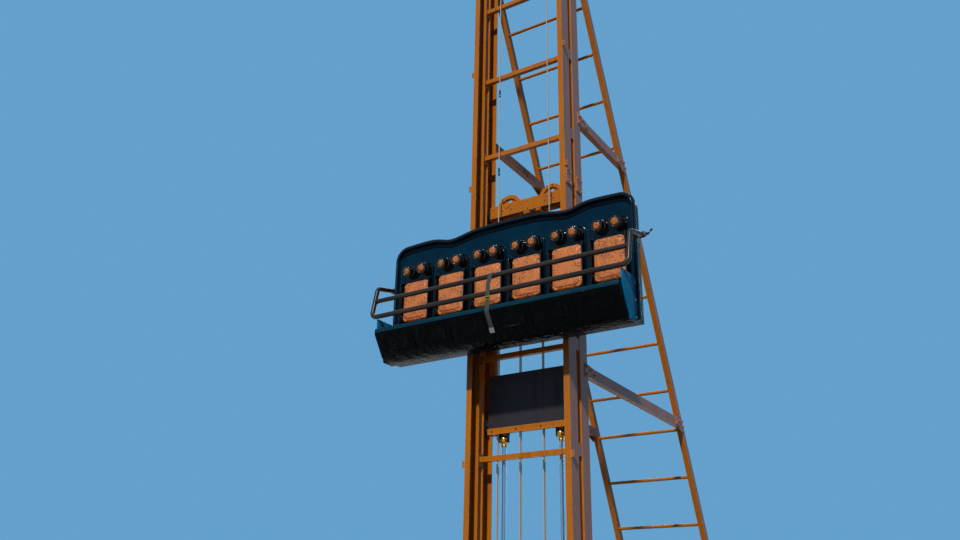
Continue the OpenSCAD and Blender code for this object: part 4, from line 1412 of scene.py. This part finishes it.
    def stitch(self, pad: bpy.types.Object, width: float, height: float) -> None:
        """Presses a seam into the face of a pad, along its border.

        Args:
            pad: The pad, centred on the origin and facing -Y.
            width: Its width.
            height: Its height.
        """
        for vertex in pad.data.vertices:
            place = vertex.co
            if place.y > self.plate_front - 0.010:
                continue
            inward = border_distance(place.x, place.z, width, height, 0.052)
            press = math.exp(-(((inward - 0.030) / 0.0055) ** 2))
            place.y += 0.0042 * press

    def head_pads(self) -> None:
        """Blows up one head pad and copies it into every pod."""
        pattern = turned("head", (
            (0.0345, 0.0820), (0.0352, 0.0865), (0.0340, 0.0925), (0.0288, 0.0960), (0.0186, 0.0975),
            (0.0060, 0.0980),
        ), 40)
        Cushion(0.0032, 3.0, 0.0035).puff(pattern, lambda p: p.z < 0.0835)
        number = 0
        for x in self.seats():
            for side in (-1, 1):
                number += 1
                place = Matrix.Translation((x, 0, 0)) @ self.at_pod(side)
                piece = placed(pattern, place, f"head_pad_{number}")
                mounted(piece, VINYL, Body.CAR, "headrest_pads")
        bpy.data.objects.remove(pattern)

    def seat_pads(self) -> None:
        """Blows up one seat pad and copies it to every seat."""
        pattern = slab("seat", self.seat_width - 0.010, self.seat_deep - 0.010, -0.026, 0.0, 0.034)
        finished_with(pattern, "BEVEL", width=0.006, segments=2, limit_method="ANGLE", angle_limit=0.6)
        Cushion(0.006, 4.0, 0.010).puff(pattern, lambda p: p.y > -0.003)
        lay = Matrix.Rotation(math.radians(-90), 4, "X")
        for number, x in enumerate(self.seats(), 1):
            place = Matrix.Translation((x, self.seat_y, self.seat_low)) @ lay
            piece = placed(pattern, place, f"seat_pad_{number}")
            mounted(piece, VINYL, Body.CAR, "seat_pads")
        bpy.data.objects.remove(pattern)

    def belt_loops(self) -> None:
        """Bends one short loop of rod and copies it to the foot of every pad."""
        run = TubeRun("loop", 0.0045, Vector((-0.176, -0.392, 4.728)), Vector((0, -1, 0)), sides=12)
        run.begin()
        run.straight(0.022)
        run.bend(Vector((0, 0, 1)), 0.012, 5)
        run.straight(0.046)
        run.bend(Vector((1, 0, 0)), 0.015, 6)
        run.straight(0.006)
        run.bend(Vector((0, 0, -1)), 0.015, 6)
        run.straight(0.046)
        run.bend(Vector((0, 1, 0)), 0.012, 5)
        run.straight(0.022)
        places = [Matrix.Translation((x, 0, 0)) for x in self.seats()]
        mounted(repeated("belt_loops", run.end(), places), RUBBER, Body.CAR)

    def build(self) -> None:
        """Builds the row."""
        self.backs()
        self.belt_loops()
        self.trims()
        self.back_pads()
        self.head_pads()
        self.seat_pads()


def border_distance(x: float, z: float, width: float, height: float, corner: float) -> float:
    """How far a point lies inside the border of a rounded rectangle.

    Args:
        x: The point along the width.
        z: The point along the height.
        width: The rectangle's width.
        height: The rectangle's height.
        corner: The radius of its corners.

    Returns:
        The distance, positive inside.
    """
    aside = abs(x) - (width / 2 - corner)
    above = abs(z) - (height / 2 - corner)
    reach = math.hypot(max(aside, 0.0), max(above, 0.0)) + min(max(aside, above), 0.0)
    return corner - reach


@dataclass
class LapBar:
    """Bent lap bar: two long tubes on bent ends, hinge bosses and weld beads."""

    half: float = 1.4325
    tube: float = 0.025
    low_y: float = -0.704
    low_z: float = 4.725
    lean: float = 11.5
    bend: float = 0.062
    upright: float = 0.352
    tie_up: float = 0.192
    hinge_y: float = -0.350
    hinge_z: float = 5.140
    pin: float = 0.015

    def up(self) -> Vector:
        """Direction of the leaning uprights."""
        lean = math.radians(self.lean)
        return Vector((0, math.sin(lean), math.cos(lean)))

    def bow(self) -> bpy.types.Object:
        """The long bent tube from hinge to hinge."""
        foot = Vector((0, self.low_y, self.low_z))
        arm = Vector((0, self.hinge_y, self.hinge_z)) - foot - self.up() * self.upright
        cut = self.bend * math.tan(self.up().angle(arm) / 2)
        gap = self.pin + 0.004
        out = arm.normalized()
        run = TubeRun("bow", self.tube, Vector((self.half, self.hinge_y, self.hinge_z)) - out * gap, -out)
        run.begin()
        run.straight(arm.length - cut - gap)
        run.bend(-self.up(), self.bend)
        run.straight(self.upright - cut - self.bend)
        run.bend(Vector((-1, 0, 0)), self.bend)
        run.straight(2 * (self.half - self.bend))
        run.bend(self.up(), self.bend)
        run.straight(self.upright - cut - self.bend)
        run.bend(out, self.bend)
        run.straight(arm.length - cut - gap)
        return run.end()

    def tie(self) -> bpy.types.Object:
        """The upper tube between the uprights."""
        at = Vector((self.half - 0.012, self.low_y, self.low_z)) + self.up() * self.tie_up
        run = TubeRun("tie", self.tube - 0.001, at, Vector((-1, 0, 0)))
        run.begin()
        run.straight(2 * (self.half - 0.012))
        return run.end()

    def boss(self, side: int) -> bpy.types.Object:
        """One hinge boss, bored for its pin.

        Args:
            side: -1 for the left one and 1 for the right one.

        Returns:
            The boss.
        """
        outer = self.pin + 0.016
        pattern = turned("boss", (
            (self.pin + 0.0006, -0.0258), (outer - 0.003, -0.0258), (outer, -0.0228), (outer, 0.0228),
            (outer - 0.003, 0.0258), (self.pin + 0.0006, 0.0258),
        ), 40)
        made = placed(pattern, facing(side * self.half, self.hinge_y, self.hinge_z, (side, 0, 0)), "boss")
        bpy.data.objects.remove(pattern)
        return smooth(made, 40)

    def welds(self) -> bpy.types.Object:
        """Weld beads where the upper tube and the bosses join the bow."""
        pattern = bead_ring("weld", self.tube + 0.0005, 0.0035)
        at = Vector((self.half - self.tube + 0.002, self.low_y, self.low_z)) + self.up() * self.tie_up
        places = [facing(side * at.x, at.y, at.z, (side, 0, 0)) for side in (-1, 1)]
        foot = Vector((0, self.low_y, self.low_z)) + self.up() * self.upright
        arm = (Vector((0, self.hinge_y, self.hinge_z)) - foot).normalized()
        root = Vector((0, self.hinge_y, self.hinge_z)) - arm * (self.pin + 0.017)
        places += [facing(side * self.half, root.y, root.z, arm) for side in (-1, 1)]
        return repeated("lap_bar_welds", pattern, places)

    def build(self) -> None:
        """Builds the bar."""
        bar = joined("lap_bar_tubes", [self.bow(), self.tie(), self.boss(-1), self.boss(1)])
        mounted(bar, BAR_PAINT, Body.BAR, "lap_bar")
        mounted(self.welds(), BAR_PAINT, Body.BAR)


def ribbon(name: str, width: float, path: Sequence[Vector], thick: float) -> bpy.types.Object:
    """A flat band across X that is extruded edge by edge along a path.

    Args:
        name: The piece's name.
        width: Its width.
        path: The points along its middle.
        thick: Its thickness.

    Returns:
        The band.
    """
    first = path[1] - path[0]
    aim = Matrix.Rotation(math.atan2(first.z, first.y), 4, "X")
    deselect_all()
    bpy.ops.mesh.primitive_plane_add(size=1.0)
    piece = bpy.context.object
    piece.name = name
    size = Matrix.Diagonal((width, first.length, 1, 1))
    piece.matrix_world = Matrix.Translation((path[0] + path[1]) / 2) @ aim @ size
    settle(piece)
    with editing(piece, "EDGE"):
        pick(piece, "edges", lambda e: all((v.co - path[1]).dot(first) > -1e-5 for v in e.verts))
        for here, there in zip(path[1:], path[2:]):
            bpy.ops.mesh.extrude_region_move(TRANSFORM_OT_translate={"value": there - here})
    finished_with(piece, "SOLIDIFY", thickness=thick, offset=0.0)
    outward(piece)
    return smooth(piece, 50)


@dataclass
class Strap:
    """Webbing over the upper tube, its buckle and the lower half on the bench."""

    width: float = 0.046
    thick: float = 0.0036
    lay: float = 0.0273
    tie_y: float = -0.6657
    tie_z: float = 4.9131
    front_y: float = -0.7322
    low_z: float = 4.725
    buckle_y: float = -0.7352
    buckle_z: float = 4.659
    down: Place = (0.0, 0.5484, -0.8362)
    apron: Place = (0.0, -0.7423, 4.5125)
    seams: tuple[float, float] = (4.835, 4.862)
    lower_length: float = 0.165
    plate_down: float = 0.176

    def upper(self) -> None:
        """Hooks the upper half over the bar."""
        turns = [math.radians(a) for a in range(-60, 181, 12)]
        path = [
            Vector((0, self.tie_y + self.lay * math.cos(a), self.tie_z + self.lay * math.sin(a)))
            for a in turns
        ]
        path += [Vector((0, self.front_y + 0.001, 4.80)), Vector((0, self.front_y, self.low_z))]
        path += [Vector((0, self.buckle_y, self.buckle_z + 0.0225))]
        band = ribbon("strap_over_bar", self.width, path, self.thick)
        sewn = joined("strap_over_bar", [band, self.stitches(*self.seams)])
        mounted(sewn, WEBBING, Body.BAR, "strap_upper")

    def stitches(self, low: float, high: float) -> bpy.types.Object:
        """Two sewn rows across the strap below its loop.

        Args:
            low: Height of the lower row.
            high: Height of the upper row.

        Returns:
            The stitches.
        """
        y = self.front_y + 0.0015 - self.thick / 2
        pattern = block("stitch", (-0.0017, -0.0006, -0.0004), (0.0017, 0.0006, 0.0004))
        rounded(pattern, 0.0003, 1)
        places = [
            Matrix.Translation(((i - 3.5) * 0.0052, y + (z - self.low_z) * 0.02, z))
            for z in (low, high) for i in range(8)
        ]
        return repeated("stitches", pattern, places)

    def lower(self) -> None:
        """Lays the lower half over the bench's nose down to its plate."""
        down, start = Vector(self.down), Vector(self.apron)
        path = [
            Vector((0, self.buckle_y, self.buckle_z - 0.0225)), Vector((0, -0.7465, 4.560)),
            Vector((0, -0.7476, 4.545)), Vector((0, -0.7476, 4.532)), start, start + down * self.lower_length,
        ]
        mounted(ribbon("strap_on_bench", self.width, path, self.thick), WEBBING, Body.CAR, "strap_lower")
        plate = block("strap_end_plate", (-0.027, -0.001, -0.026), (0.027, 0.0055, 0.026))
        with editing(plate):
            pick(plate, "faces", lambda f: f.normal.y > 0.9)
            bpy.ops.mesh.inset(thickness=0.005, depth=0.0006)
        rounded(plate, 0.0018, 2)
        lie = Matrix.Rotation(math.atan2(down.y, -down.z), 4, "X") @ Matrix.Rotation(math.pi, 4, "Z")
        seat = Matrix.Translation(start + down * self.plate_down) @ lie
        made = placed(plate, seat, "strap_end_plate")
        bpy.data.objects.remove(plate)
        mounted(made, ZINC, Body.CAR)
        screw = Fastener(0.0042, 0.003, 0.0075, 0.001, 20).pattern("screw")
        lean = Vector((0, self.down[2], -self.down[1]))
        places = [
            facing(x, *(start + down * self.plate_down + lean * 0.0062).yz, lean) for x in (-0.016, 0.016)
        ]
        mounted(repeated("strap_end_screws", screw, places), ZINC, Body.CAR)

    def buckle(self) -> None:
        """Models the pressed steel buckle with its slot bars and button."""
        deep, wide, high = 0.016, 0.060, 0.042
        shell = block("buckle", (-wide / 2, -deep / 2, -high / 2), (wide / 2, deep / 2, high / 2))
        with editing(shell, "EDGE"):
            pick(shell, "edges", lambda e: abs(e.verts[0].co.y - e.verts[1].co.y) > 0.001)
            bpy.ops.mesh.bevel(offset=0.007, segments=4, affect="EDGES")
        with editing(shell):
            pick(shell, "faces", lambda f: f.normal.y < -0.9)
            bpy.ops.mesh.inset(thickness=0.006)
            bpy.ops.mesh.inset(thickness=0.001, depth=-0.0015)
            bpy.ops.mesh.inset(thickness=0.006)
            bpy.ops.mesh.inset(thickness=0.001, depth=0.0018)
        rounded(shell, 0.0012, 2)
        made = placed(shell, Matrix.Translation((0, self.buckle_y, self.buckle_z)), "strap_lock")
        bpy.data.objects.remove(shell)
        mounted(made, BRASS, Body.BAR, "strap_buckle")

    def build(self) -> None:
        """Builds the strap."""
        self.upper()
        self.buckle()
        self.lower()


@dataclass(frozen=True)
class Fastener:
    """A hexagon or round headed bolt on its washer."""

    head_radius: float
    head_height: float
    washer_radius: float
    washer_height: float
    sides: int = 6

    def pattern(self, name: str) -> bpy.types.Object:
        """The bolt standing on Z = 0, head up.

        Args:
            name: The piece's name.

        Returns:
            The bolt.
        """
        low, high = self.washer_height, self.washer_height + self.head_height
        washer = turned("washer", (
            (self.washer_radius, 0.0), (self.washer_radius, low * 0.7), (self.washer_radius * 0.96, low),
            (self.head_radius * 0.6, low),
        ), 20)
        head = turned("head", (
            (self.head_radius, low * 0.5), (self.head_radius, high - self.head_height * 0.15),
            (self.head_radius * 0.86, high), (self.head_radius * 0.40, high),
        ), self.sides)
        return smooth(joined(name, [washer, head]), 30)


@dataclass
class Bench:
    """Moulded bench with rounded edges, calf panels and end panels."""

    pitch: float = 0.446
    count: int = 6
    panel_width: float = 0.318
    panel_height: float = 0.150
    apron_y: float = -0.681
    apron_z: float = 4.426
    apron_slope: float = 56.2
    panel_face: float = 1.3715
    bolt_spots: tuple[tuple[float, float], ...] = ((-0.432, 4.315), (-0.432, 4.480), (-0.432, 4.645))
    half: float = 1.3495

    def body(self) -> None:
        """Rounds the edges of the bench block."""
        body = merged_copy("bench", "bench_moulding")
        mounted(rounded(body, 0.006, 3, 28), APRON, Body.CAR, "bench")

    def calf_panels(self) -> None:
        """Adds a raised, hollow panel with a lip under each seat."""
        panel = slab("panel", self.panel_width, self.panel_height, -0.008, 0.002, 0.030)
        with editing(panel):
            pick(panel, "faces", lambda f: f.normal.y < -0.9)
            bpy.ops.mesh.inset(thickness=0.010)
            bpy.ops.mesh.inset(thickness=0.012, depth=-0.005)
        rounded(panel, 0.003, 3, 25)
        lie = Matrix.Rotation(math.radians(90 - self.apron_slope), 4, "X")
        places = [
            Matrix.Translation(((i - (self.count - 1) / 2) * self.pitch, self.apron_y, self.apron_z)) @ lie
            for i in range(self.count)
        ]
        mounted(repeated("calf_panels", panel, places), APRON, Body.CAR)

    def nose(self) -> None:
        """Adds a rail along the front edge of the seat, coloured teal as a painted highlight."""
        rail = block("bench_nose_rail", (-self.half, -0.7462, 4.532), (self.half, -0.712, 4.5735))
        with editing(rail):
            pick(rail, "faces", lambda f: f.normal.z > 0.9)
            bpy.ops.mesh.inset(thickness=0.010)
            bpy.ops.transform.translate(value=(0, 0, 0.0025))
        mounted(rounded(rail, 0.006, 4, 20), NOSE_HIGHLIGHT, Body.CAR)

    def ends(self) -> None:
        """Rounds the end panels and bolts them on."""
        panels = merged_copy("end_panels", "end_panel_mouldings")
        mounted(rounded(panels, 0.005, 3, 40), PANEL, Body.CAR, "end_panels")
        bolt = Fastener(0.0075, 0.0052, 0.010, 0.0016).pattern("bolt")
        places = [
            facing(side * self.panel_face, y, z, (side, 0, 0), 17 * turn)
            for side in (-1, 1) for turn, (y, z) in enumerate(self.bolt_spots)
        ]
        mounted(repeated("end_panel_bolts", bolt, places), ZINC, Body.CAR)

    def build(self) -> None:
        """Builds the bench."""
        self.body()
        self.nose()
        self.calf_panels()
        self.ends()


@dataclass
class RopeFalls:
    """Straight ropes between the tower and a moving body."""

    name: str
    node: str
    body: Body
    fixed: float
    moving: float
    columns: tuple[float, ...]
    rows: tuple[float, ...]
    radius: float = 0.006

    def build(self) -> None:
        """Builds the ropes."""
        runs = []
        low, high = sorted((self.fixed, self.moving))
        for x in self.columns:
            for y in self.rows:
                run = TubeRun("fall", self.radius, Vector((x, y, low)), Vector((0, 0, 1)), sides=10)
                run.begin()
                run.straight(high - low)
                runs.append(run.end())
        falls = joined(self.name, runs)
        ROPE.dress(falls)
        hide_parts(self.node)
        self.stretch(falls)

    def stretch(self, piece: bpy.types.Object) -> None:
        """Bakes a piece's place into its mesh and logs it."""
        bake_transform(piece)
        LOG.info("%s between tower and %s", piece.name, self.body.value)


@dataclass
class Ropes:
    """Hoist falls, ride ropes and the sleeves on the left ride rope."""

    ride_x: float = 0.310
    ride_y: float = -0.046
    head: float = 9.630
    clamp: float = 4.930
    foot: float = 0.320
    sheave: float = 6.055
    sleeve_heights: tuple[float, ...] = (6.44, 7.46)

    def build(self) -> None:
        """Builds all ropes."""
        RopeFalls(
            "hoist_rope_falls", "hoist_falls", Body.LIFT, self.foot, self.sheave,
            (-0.39, -0.13, 0.13, 0.39), (0.1035, 0.1295),
        ).build()
        rides = RopeFalls(
            "ride_rope_falls", "ride_ropes", Body.CAR, self.head, self.clamp,
            (-self.ride_x, self.ride_x), (self.ride_y,),
        )
        rides.build()
        pattern = turned("sleeve", (
            (0.0062, -0.050), (0.0095, -0.047), (0.0105, -0.040), (0.0105, -0.012), (0.0088, -0.008),
            (0.0088, 0.008), (0.0105, 0.012), (0.0105, 0.040), (0.0095, 0.047), (0.0062, 0.050),
        ), 20)
        smooth(pattern, 50)
        places = [Matrix.Translation((-self.ride_x, self.ride_y, z)) for z in self.sleeve_heights]
        sleeves = repeated("ride_rope_sleeves", pattern, places)
        RUBBER.dress(sleeves)
        rides.stretch(sleeves)


@dataclass
class RodEyes:
    """Forged rod ends: a thick round eye on a collared neck."""

    ram_x: float = 0.316
    y: float = 0.1165
    z: float = 3.498
    radius: float = 0.046
    half: float = 0.032
    neck_low: float = 3.424

    def eye(self) -> bpy.types.Object:
        """The eye about Z, rounded like a ball, with a raised rim round its bore."""
        r, h = self.radius, self.half
        return smooth(turned("eye", (
            (0.0156, -h), (0.0235, -h), (0.0245, -h + 0.002), (0.0300, -h + 0.003), (r - 0.008, -h + 0.008),
            (r - 0.002, -h + 0.019), (r, 0.0), (r - 0.002, h - 0.019), (r - 0.008, h - 0.008),
            (0.0300, h - 0.003), (0.0245, h - 0.002), (0.0235, h), (0.0156, h),
        ), 48), 40)

    def neck(self) -> bpy.types.Object:
        """The neck with its collar."""
        low = self.neck_low
        neck = turned("neck", (
            (0.0270, low), (0.0290, low + 0.002), (0.0290, low + 0.014), (0.0262, low + 0.017),
            (0.0250, low + 0.024), (0.0262, low + 0.034), (0.0300, low + 0.046),
        ), 40)
        return smooth(neck, 40)

    def build(self) -> None:
        """Puts an eye on each rod."""
        upright = self.eye()
        eye = placed(upright, facing(0, 0, self.z, (1, 0, 0)), "eye_ring")
        bpy.data.objects.remove(upright)
        pattern = joined("rod_end", [eye, self.neck()])
        places = [Matrix.Translation((side * self.ram_x, self.y, 0)) for side in (-1, 1)]
        mounted(repeated("rod_end_eyes", pattern, places), BRASS, Body.LIFT, "rod_eyes")


@dataclass
class LiftPlateTrim:
    """Painted edge angle along the foot of the lift plate, with its rivets."""

    half: float = 0.468
    front: float = 0.0425
    back: float = 0.0606
    low: float = 3.5475
    high: float = 3.609

    def build(self) -> None:
        """Builds the angle with a lip round its face, and its rivets."""
        angle = block(
            "lift_plate_angle", (-self.half, self.front, self.low), (self.half, self.back, self.high)
        )
        with editing(angle):
            pick(angle, "faces", lambda f: f.normal.y < -0.9)
            bpy.ops.mesh.inset(thickness=0.009)
            bpy.ops.mesh.inset(thickness=0.001, depth=-0.001)
        rounded(angle, 0.0022, 3)
        mounted(angle, ORANGE_PAINT, Body.LIFT)
        rivet = Fastener(0.0075, 0.0045, 0.0090, 0.0012, 20).pattern("rivet")
        places = [facing(x, self.front + 0.001, 3.578, (0, -1, 0)) for x in (-0.42, -0.14, 0.14, 0.42)]
        # rivets in painted shade
        mounted(repeated("lift_plate_rivets", rivet, places), SHADE_PAINT, Body.LIFT)


@dataclass
class Welds:
    """Weld beads where the ladder's rungs meet the rails."""

    rail_x: float = 0.5125
    rung_radius: float = 0.019
    top: float = 8.72
    pitch: float = 0.52
    count: int = 16
    low_ones: tuple[int, int] = (5, 8)
    drop: float = 0.09

    def build(self) -> None:
        """Runs a bead round both ends of every rung."""
        steel = Bolting()
        pattern = bead_ring("bead", self.rung_radius + 0.001, 0.0042, 36)
        places = []
        for i in range(self.count):
            z = self.top - self.pitch * i - (self.drop if self.low_ones[0] <= i <= self.low_ones[1] else 0.0)
            places += [facing(side * self.rail_x, steel.rail_y(z), z, (side, 0, 0)) for side in (-1, 1)]
        mounted(repeated("ladder_welds", pattern, places), ORANGE_PAINT, Body.TOWER)


@dataclass
class Bolting:
    """Bolts of the steelwork: gussets, splice plates, lift frame and hinges."""

    gusset_x: float = 0.583
    ties: tuple[float, ...] = (4.10, 6.95)
    mast_rear: float = 0.194
    stay_top: float = 9.383
    stay_lean: float = 25.6
    splice_x: float = 0.585
    splice_z: float = 6.10
    track_y: float = 0.1165
    hinge_x: float = 1.3835
    beam_front: float = 0.044
    beam_rows: tuple[float, float] = (5.962, 6.046)
    sheave_x: float = 0.26
    axle_z: float = 6.005
    plate_front: float = 0.0605
    by_mast: tuple[tuple[float, float], ...] = (
        (0.166, 0.038), (0.166, -0.038), (0.255, 0.022), (0.330, -0.018),
    )
    by_rail: tuple[tuple[float, float], ...] = (
        (-0.155, -0.018), (-0.095, 0.020), (-0.008, 0.030), (0.018, -0.030),
    )

    def rail_y(self, z: float) -> float:
        """Middle of the leaning rails at a height."""
        return self.mast_rear + (self.stay_top - z) * math.tan(math.radians(self.stay_lean))

    def sides(self, x: float, spots: Iterable[tuple[float, float]]) -> list[Matrix]:
        """Places on both outer faces at x, at spots in Y and Z."""
        return [
            facing(side * x, y, z, (side, 0, 0), 23 * turn)
            for side in (-1, 1) for turn, (y, z) in enumerate(spots)
        ]

    def tower(self) -> None:
        """Bolts the ties' gussets and the mast's splice plates."""
        spots = []
        for z in self.ties:
            rail = self.rail_y(z)
            spots += [(y, z + up) for y, up in self.by_mast]
            spots += [(rail + y, z + up) for y, up in self.by_rail]
        bolt = Fastener(0.0139, 0.0100, 0.0150, 0.003).pattern("bolt")
        mounted(repeated("gusset_bolts", bolt, self.sides(self.gusset_x, spots)), ORANGE_PAINT, Body.TOWER)
        spots = [
            (row * self.track_y + dy, self.splice_z + dz)
            for row in (-1, 1) for dy in (-0.038, 0.038) for dz in (-0.062, 0.062)
        ]
        bolt = Fastener(0.0115, 0.0085, 0.0135, 0.0025).pattern("bolt")
        mounted(repeated("splice_bolts", bolt, self.sides(self.splice_x, spots)), ORANGE_PAINT, Body.TOWER)

    def lift_frame(self) -> None:
        """Bolts the lift beam's plates and the lower plate."""
        bolt = Fastener(0.0098, 0.0070, 0.0115, 0.002).pattern("bolt")
        front = (0, -1, 0)
        places = [
            facing(x, self.beam_front, z, front, 11)
            for x in (-0.435, 0.0, 0.435) for z in self.beam_rows
        ]
        places += [
            facing(
                side * self.sheave_x + 0.050 * math.cos(a), self.beam_front,
                self.axle_z + 0.046 * math.sin(a), front, 30,
            )
            for side in (-1, 1) for a in (0.0, math.pi)
        ]
        mounted(repeated("lift_beam_bolts", bolt, places), ORANGE_PAINT, Body.LIFT)
        bolt = Fastener(0.0098, 0.0070, 0.0115, 0.002).pattern("bolt")
        spots = [(-0.250, 3.908), (0.276, 3.918)]
        spots += [(x, z) for x in (-0.44, 0.44) for z in (3.66, 4.10)]
        places = [facing(x, self.plate_front, z, front) for x, z in spots]
        # plate bolts in painted shade
        mounted(repeated("lift_plate_bolts", bolt, places), SHADE_PAINT, Body.LIFT)

    def hinges(self) -> None:
        """Bolts the lap bar's hinge plates."""
        bolt = Fastener(0.0075, 0.0052, 0.0095, 0.0016).pattern("bolt")
        spots = [(-0.340 + dy, 5.140 + dz) for dy in (-0.017, 0.017) for dz in (-0.056, 0.056)]
        mounted(repeated("hinge_plate_bolts", bolt, self.sides(self.hinge_x, spots)), ZINC, Body.CAR)

    def build(self) -> None:
        """Puts in all bolts."""
        self.tower()
        self.lift_frame()
        self.hinges()


def bead_ring(name: str, radius: float, bead: float, steps: int = 72) -> bpy.types.Object:
    """A weld bead round a tube along Z, with the ripples of its runs.

    Args:
        name: The piece's name.
        radius: Radius of the tube.
        bead: Half height of the bead.
        steps: Facets round the tube.

    Returns:
        The bead.
    """
    def step_round(spot: Vector) -> int:
        """Number of the step round the tube that a point lies on."""
        return int((math.degrees(math.atan2(spot.y, spot.x)) + 180.1) / 360 * steps)

    deselect_all()
    bpy.ops.mesh.primitive_torus_add(
        major_segments=steps, minor_segments=6, major_radius=radius, minor_radius=bead
    )
    piece = settle(bpy.context.object)
    piece.name = name
    with editing(piece, "VERT"):
        pick(piece, "verts", lambda v: step_round(v.co) % 2 == 0)
        bpy.ops.transform.resize(value=(0.985, 0.985, 0.75), center_override=(0, 0, 0))
    return smooth(outward(piece), 60)


def main() -> None:
    """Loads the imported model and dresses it."""
    logging.basicConfig(level=logging.INFO, format="%(message)s")
    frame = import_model()
    CAD_NAMES.update(frame["nodes"])
    Studio().build()
    PaintShop().build()
    SeatRow().build()
    LapBar().build()
    Strap().build()
    Bench().build()
    Ropes().build()
    RodEyes().build()
    LiftPlateTrim().build()
    Bolting().build()
    Welds().build()


if __name__ == "__main__":
    main()
